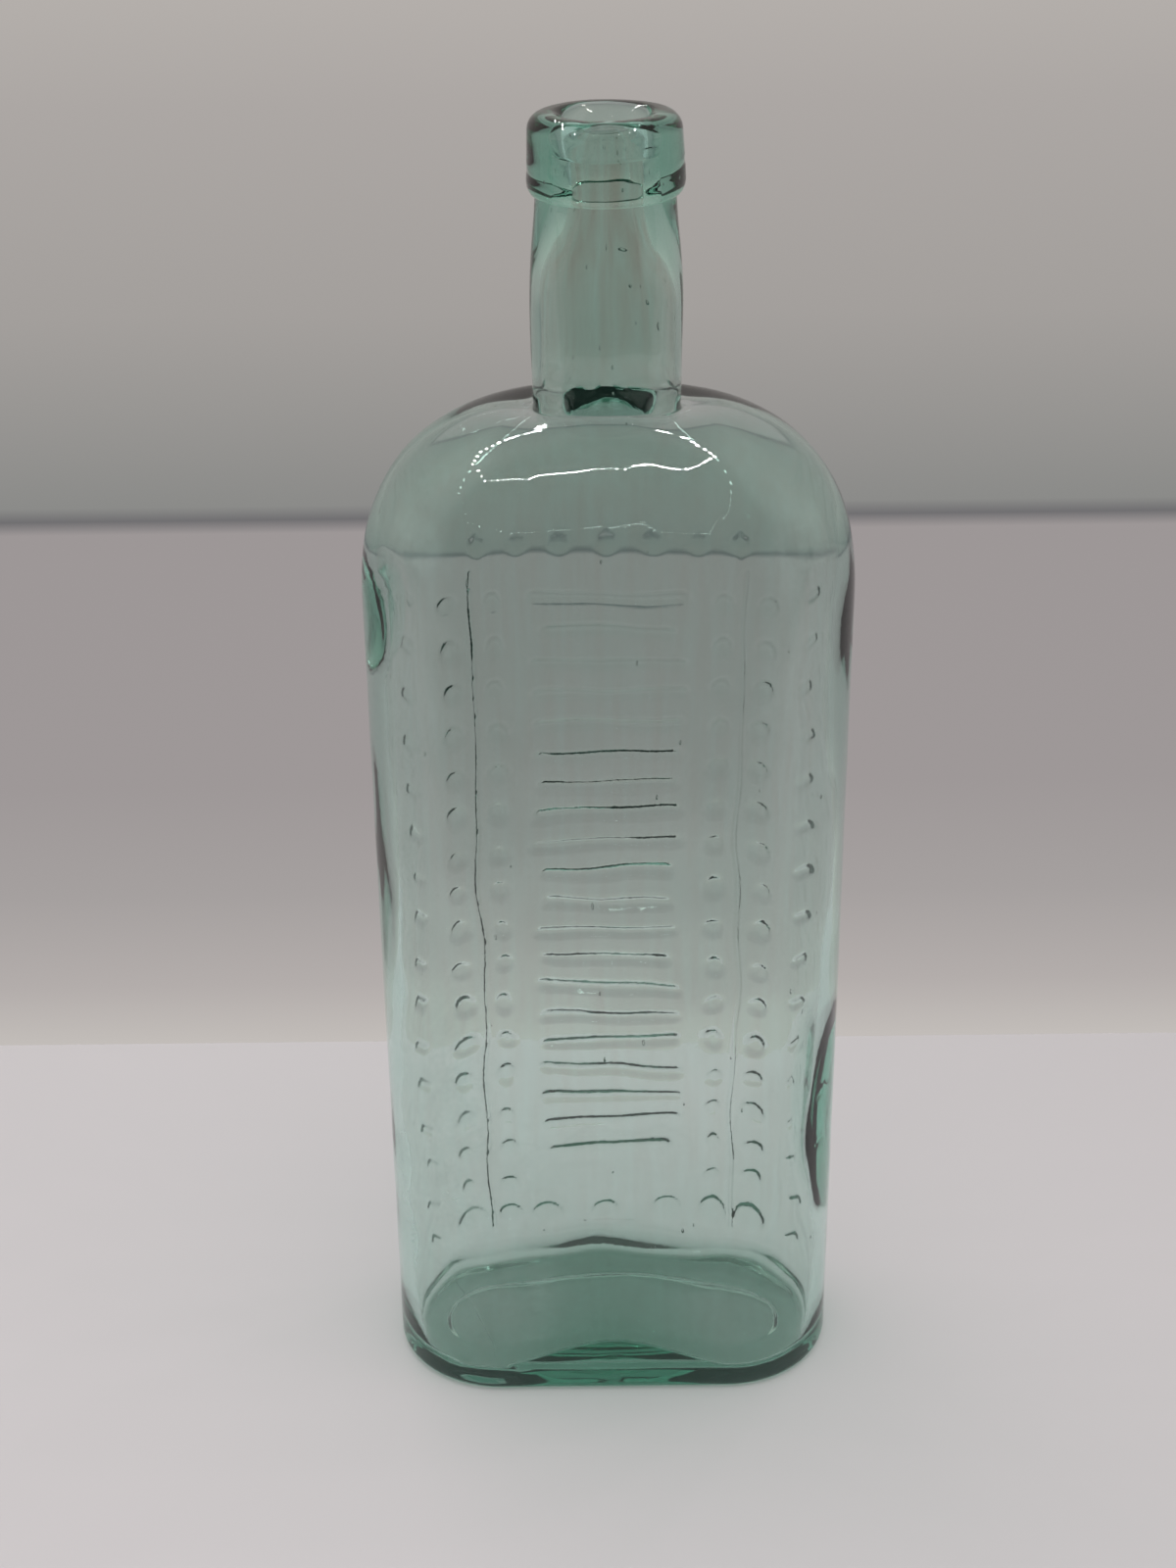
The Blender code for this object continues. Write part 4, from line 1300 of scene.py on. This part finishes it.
# painted light and shade: the tones fade up to the fold, a painted shadow line lies at 131 mm, and they
# grow paler above
SHEET_PAINTED_TONES = (  # height in mm, colour
    (0, "c2bdb9"),
    (16, "b3adab"),
    (40, "a5a09f"),
    (68, "9e9898"),
    (128, "9d9797"),
    (131, "706f71"),
    (134, "8b8b89"),
    (175, "a39f9c"),
    (217, "aca7a4"),
    (260, "bcb7b2"),
)
SHEET_HEIGHT = SHEET_PAINTED_TONES[-1][0] * MM


def sheet_object(name, corners, material):
    """A flat sheet of the set."""
    mesh = bpy.data.meshes.new(name)
    mesh.from_pydata(corners, [], [tuple(range(len(corners)))])
    mesh.materials.append(material)
    sheet = bpy.data.objects.new(name, mesh)
    bpy.context.scene.collection.objects.link(sheet)
    sheet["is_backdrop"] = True
    return sheet


def matt_paper():
    """White paper that glows as a painted dim room past the table's edge, for turned-back light only."""
    material, tree = new_material("matt white paper")
    paper = {"Base Color": srgb(FLOOR_COLOUR), "Roughness": PAPER_ROUGHNESS}
    paper = add_node(tree, "BsdfPrincipled", paper).outputs[0]
    # painted reflection: past the table's edge, rays that the glass has turned back see a dark teal glow
    # instead of paper
    beyond = remapped(tree, axis_of(tree, "Object", "Y"), *TABLE_EDGE)
    turned_back = add_node(tree, "LightPath").outputs["Glossy Depth"]
    painted_room_share = worked_out(tree, "MULTIPLY", beyond, turned_back, clamp=True)
    room = add_node(tree, "Emission", {"Color": srgb(PAINTED_ROOM_TONE)}).outputs[0]
    add_node(tree, "OutputMaterial", {"Surface": blend(tree, painted_room_share, paper, room)})
    return material


def back_paper():
    """Paper that glows in its painted light and shade by height, lets lamplight by, and is unseen from
    behind.
    """
    material, tree = new_material("matt white paper, shaded")
    share = worked_out(tree, "DIVIDE", axis_of(tree, "Object", "Z"), SHEET_HEIGHT)
    tones = add_node(tree, "ValToRGB", {0: share})
    ramp = tones.color_ramp.elements
    ramp[0].color, ramp[1].color = srgb(SHEET_PAINTED_TONES[0][1]), srgb(SHEET_PAINTED_TONES[-1][1])
    for up, code in SHEET_PAINTED_TONES[1:-1]:
        ramp.new(up * MM / SHEET_HEIGHT).color = srgb(code)
    # the sheet glows in its painted tones for seen, mirrored and refracted rays
    painted_glow = add_node(tree, "Emission", {"Color": tones.outputs["Color"]}).outputs[0]
    seen = any_ray(tree, "Is Camera Ray", "Is Glossy Ray", "Is Transmission Ray")
    behind = add_node(tree, "NewGeometry").outputs["Backfacing"]
    shown = worked_out(tree, "SUBTRACT", seen, behind, clamp=True)
    nothing = add_node(tree, "BsdfTransparent").outputs[0]
    add_node(tree, "OutputMaterial", {"Surface": blend(tree, shown, nothing, painted_glow)})
    return material


floor_corners = [(x * FLOOR_REACH, y * FLOOR_REACH, 0) for x, y in ((-1, -1), (1, -1), (1, 1), (-1, 1))]
sheet_object("floor", floor_corners, matt_paper())
sheet_corners = [
    (side * SHEET_HALF_WIDTH, SHEET_PLACE, up * SHEET_HEIGHT)
    for side, up in ((-1, 0), (1, 0), (1, 1), (-1, 1))
]
sheet_object("back_sheet", sheet_corners, back_paper())
print("back sheet", round(SHEET_PLACE / MM), "mm behind the bottle's axis")

# %% [markdown]
# The light is soft: a pale sky all round, and over the bottle a ring of small lamps like the strip
# lights in the roof of a light tent. Their mirror image is the loop of sparkles on the shoulder. The
# shoulder is a strongly curved mirror, so each corner of the ring stands where the shoulder throws it
# onto the loop, and that bends the ring far towards the front.

# %% Soft light
SKY = "d0d0d0"
SKY_STRENGTH = 0.95
PAINTED_ROOM_REACH = (-0.1, -0.6)
FRAME_HEIGHT = 480 * MM
FRAME_STRETCHES = (  # corner in mm, lamps from it to the next
    ((-100, 420), 3),
    ((-104, 191), 4),
    ((-144, 117), 4),
    ((-200, 53), 3),
    ((-249, -36), 3),
    ((-266, -283), 5),
    ((-126, -490), 4),
    ((-48, -665), 3),
    ((-35, -640), 4),
    ((35, -690), 5),
    ((66, -500), 5),
    ((140, -262), 4),
    ((173, -98), 3),
    ((130, -18), 3),
    ((103, 90), 1),
)
LAMP_WIDTH = 7 * MM
LAMP_DEPTH = 12 * MM
FRAME_POWER = 2.2

world = bpy.data.worlds.new("soft sky")
world.use_nodes = True
sky_tree = world.node_tree
sky_tree.nodes.clear()
sky = add_node(sky_tree, "Background", {"Color": srgb(SKY), "Strength": SKY_STRENGTH})
# painted reflection: rays that glass reflects or lets through see pale tent walls instead of the sky,
# and those it has turned back see the dark teal room in front
room = add_node(sky_tree, "Background", {"Color": srgb(PAINTED_ROOM_TONE)})
tent = add_node(sky_tree, "Background", {"Color": srgb(SHEET_PAINTED_TONES[-1][1])})
open_front = remapped(sky_tree, axis_of(sky_tree, "Generated", "Y"), *PAINTED_ROOM_REACH)
turned_back = add_node(sky_tree, "LightPath").outputs["Glossy Depth"]
painted_room_front = worked_out(sky_tree, "MULTIPLY", open_front, turned_back, clamp=True)
painted_walls = blend(sky_tree, painted_room_front, tent.outputs[0], room.outputs[0])
mirrored = any_ray(sky_tree, "Is Glossy Ray", "Is Transmission Ray")
around = blend(sky_tree, mirrored, sky.outputs[0], painted_walls)
add_node(sky_tree, "OutputWorld", {"Surface": around})
bpy.context.scene.world = world

lamp_data = bpy.data.lights.new("strip lamp", "AREA")
lamp_data.shape = "ELLIPSE"
lamp_data.size = LAMP_WIDTH
lamp_data.size_y = LAMP_DEPTH
lamp_places = []
for step, ((x, y), count) in enumerate(FRAME_STRETCHES):
    next_x, next_y = FRAME_STRETCHES[(step + 1) % len(FRAME_STRETCHES)][0]
    for share in np.arange(count) / count:
        lamp_places.append((mix(x, next_x, share) * MM, mix(y, next_y, share) * MM, FRAME_HEIGHT))
lamp_data.energy = FRAME_POWER / len(lamp_places)
for place in lamp_places:
    lamp = bpy.data.objects.new("strip_lamp", lamp_data)
    lamp.location = place
    lamp.visible_camera = False
    bpy.context.scene.collection.objects.link(lamp)
print(len(lamp_places), "lamps in the frame")

# %% [markdown]
# Light crosses at least four skins on its way through the bottle and runs along the thick base by
# bouncing inside it, so the paths are allowed to be long. The view transform stays plain, which keeps
# the written colours.

# %% Long light paths and the finish
PATH_LENGTH = 32
scene = bpy.context.scene
scene.view_settings.view_transform = "Standard"
scene.cycles.max_bounces = PATH_LENGTH
scene.cycles.transmission_bounces = PATH_LENGTH
scene.cycles.transparent_max_bounces = PATH_LENGTH
sizes = {"cad": cad_box, "visual": [list(corner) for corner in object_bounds()]}
print("visual box in mm:", [[round(value / MM, 2) for value in corner] for corner in sizes["visual"]])
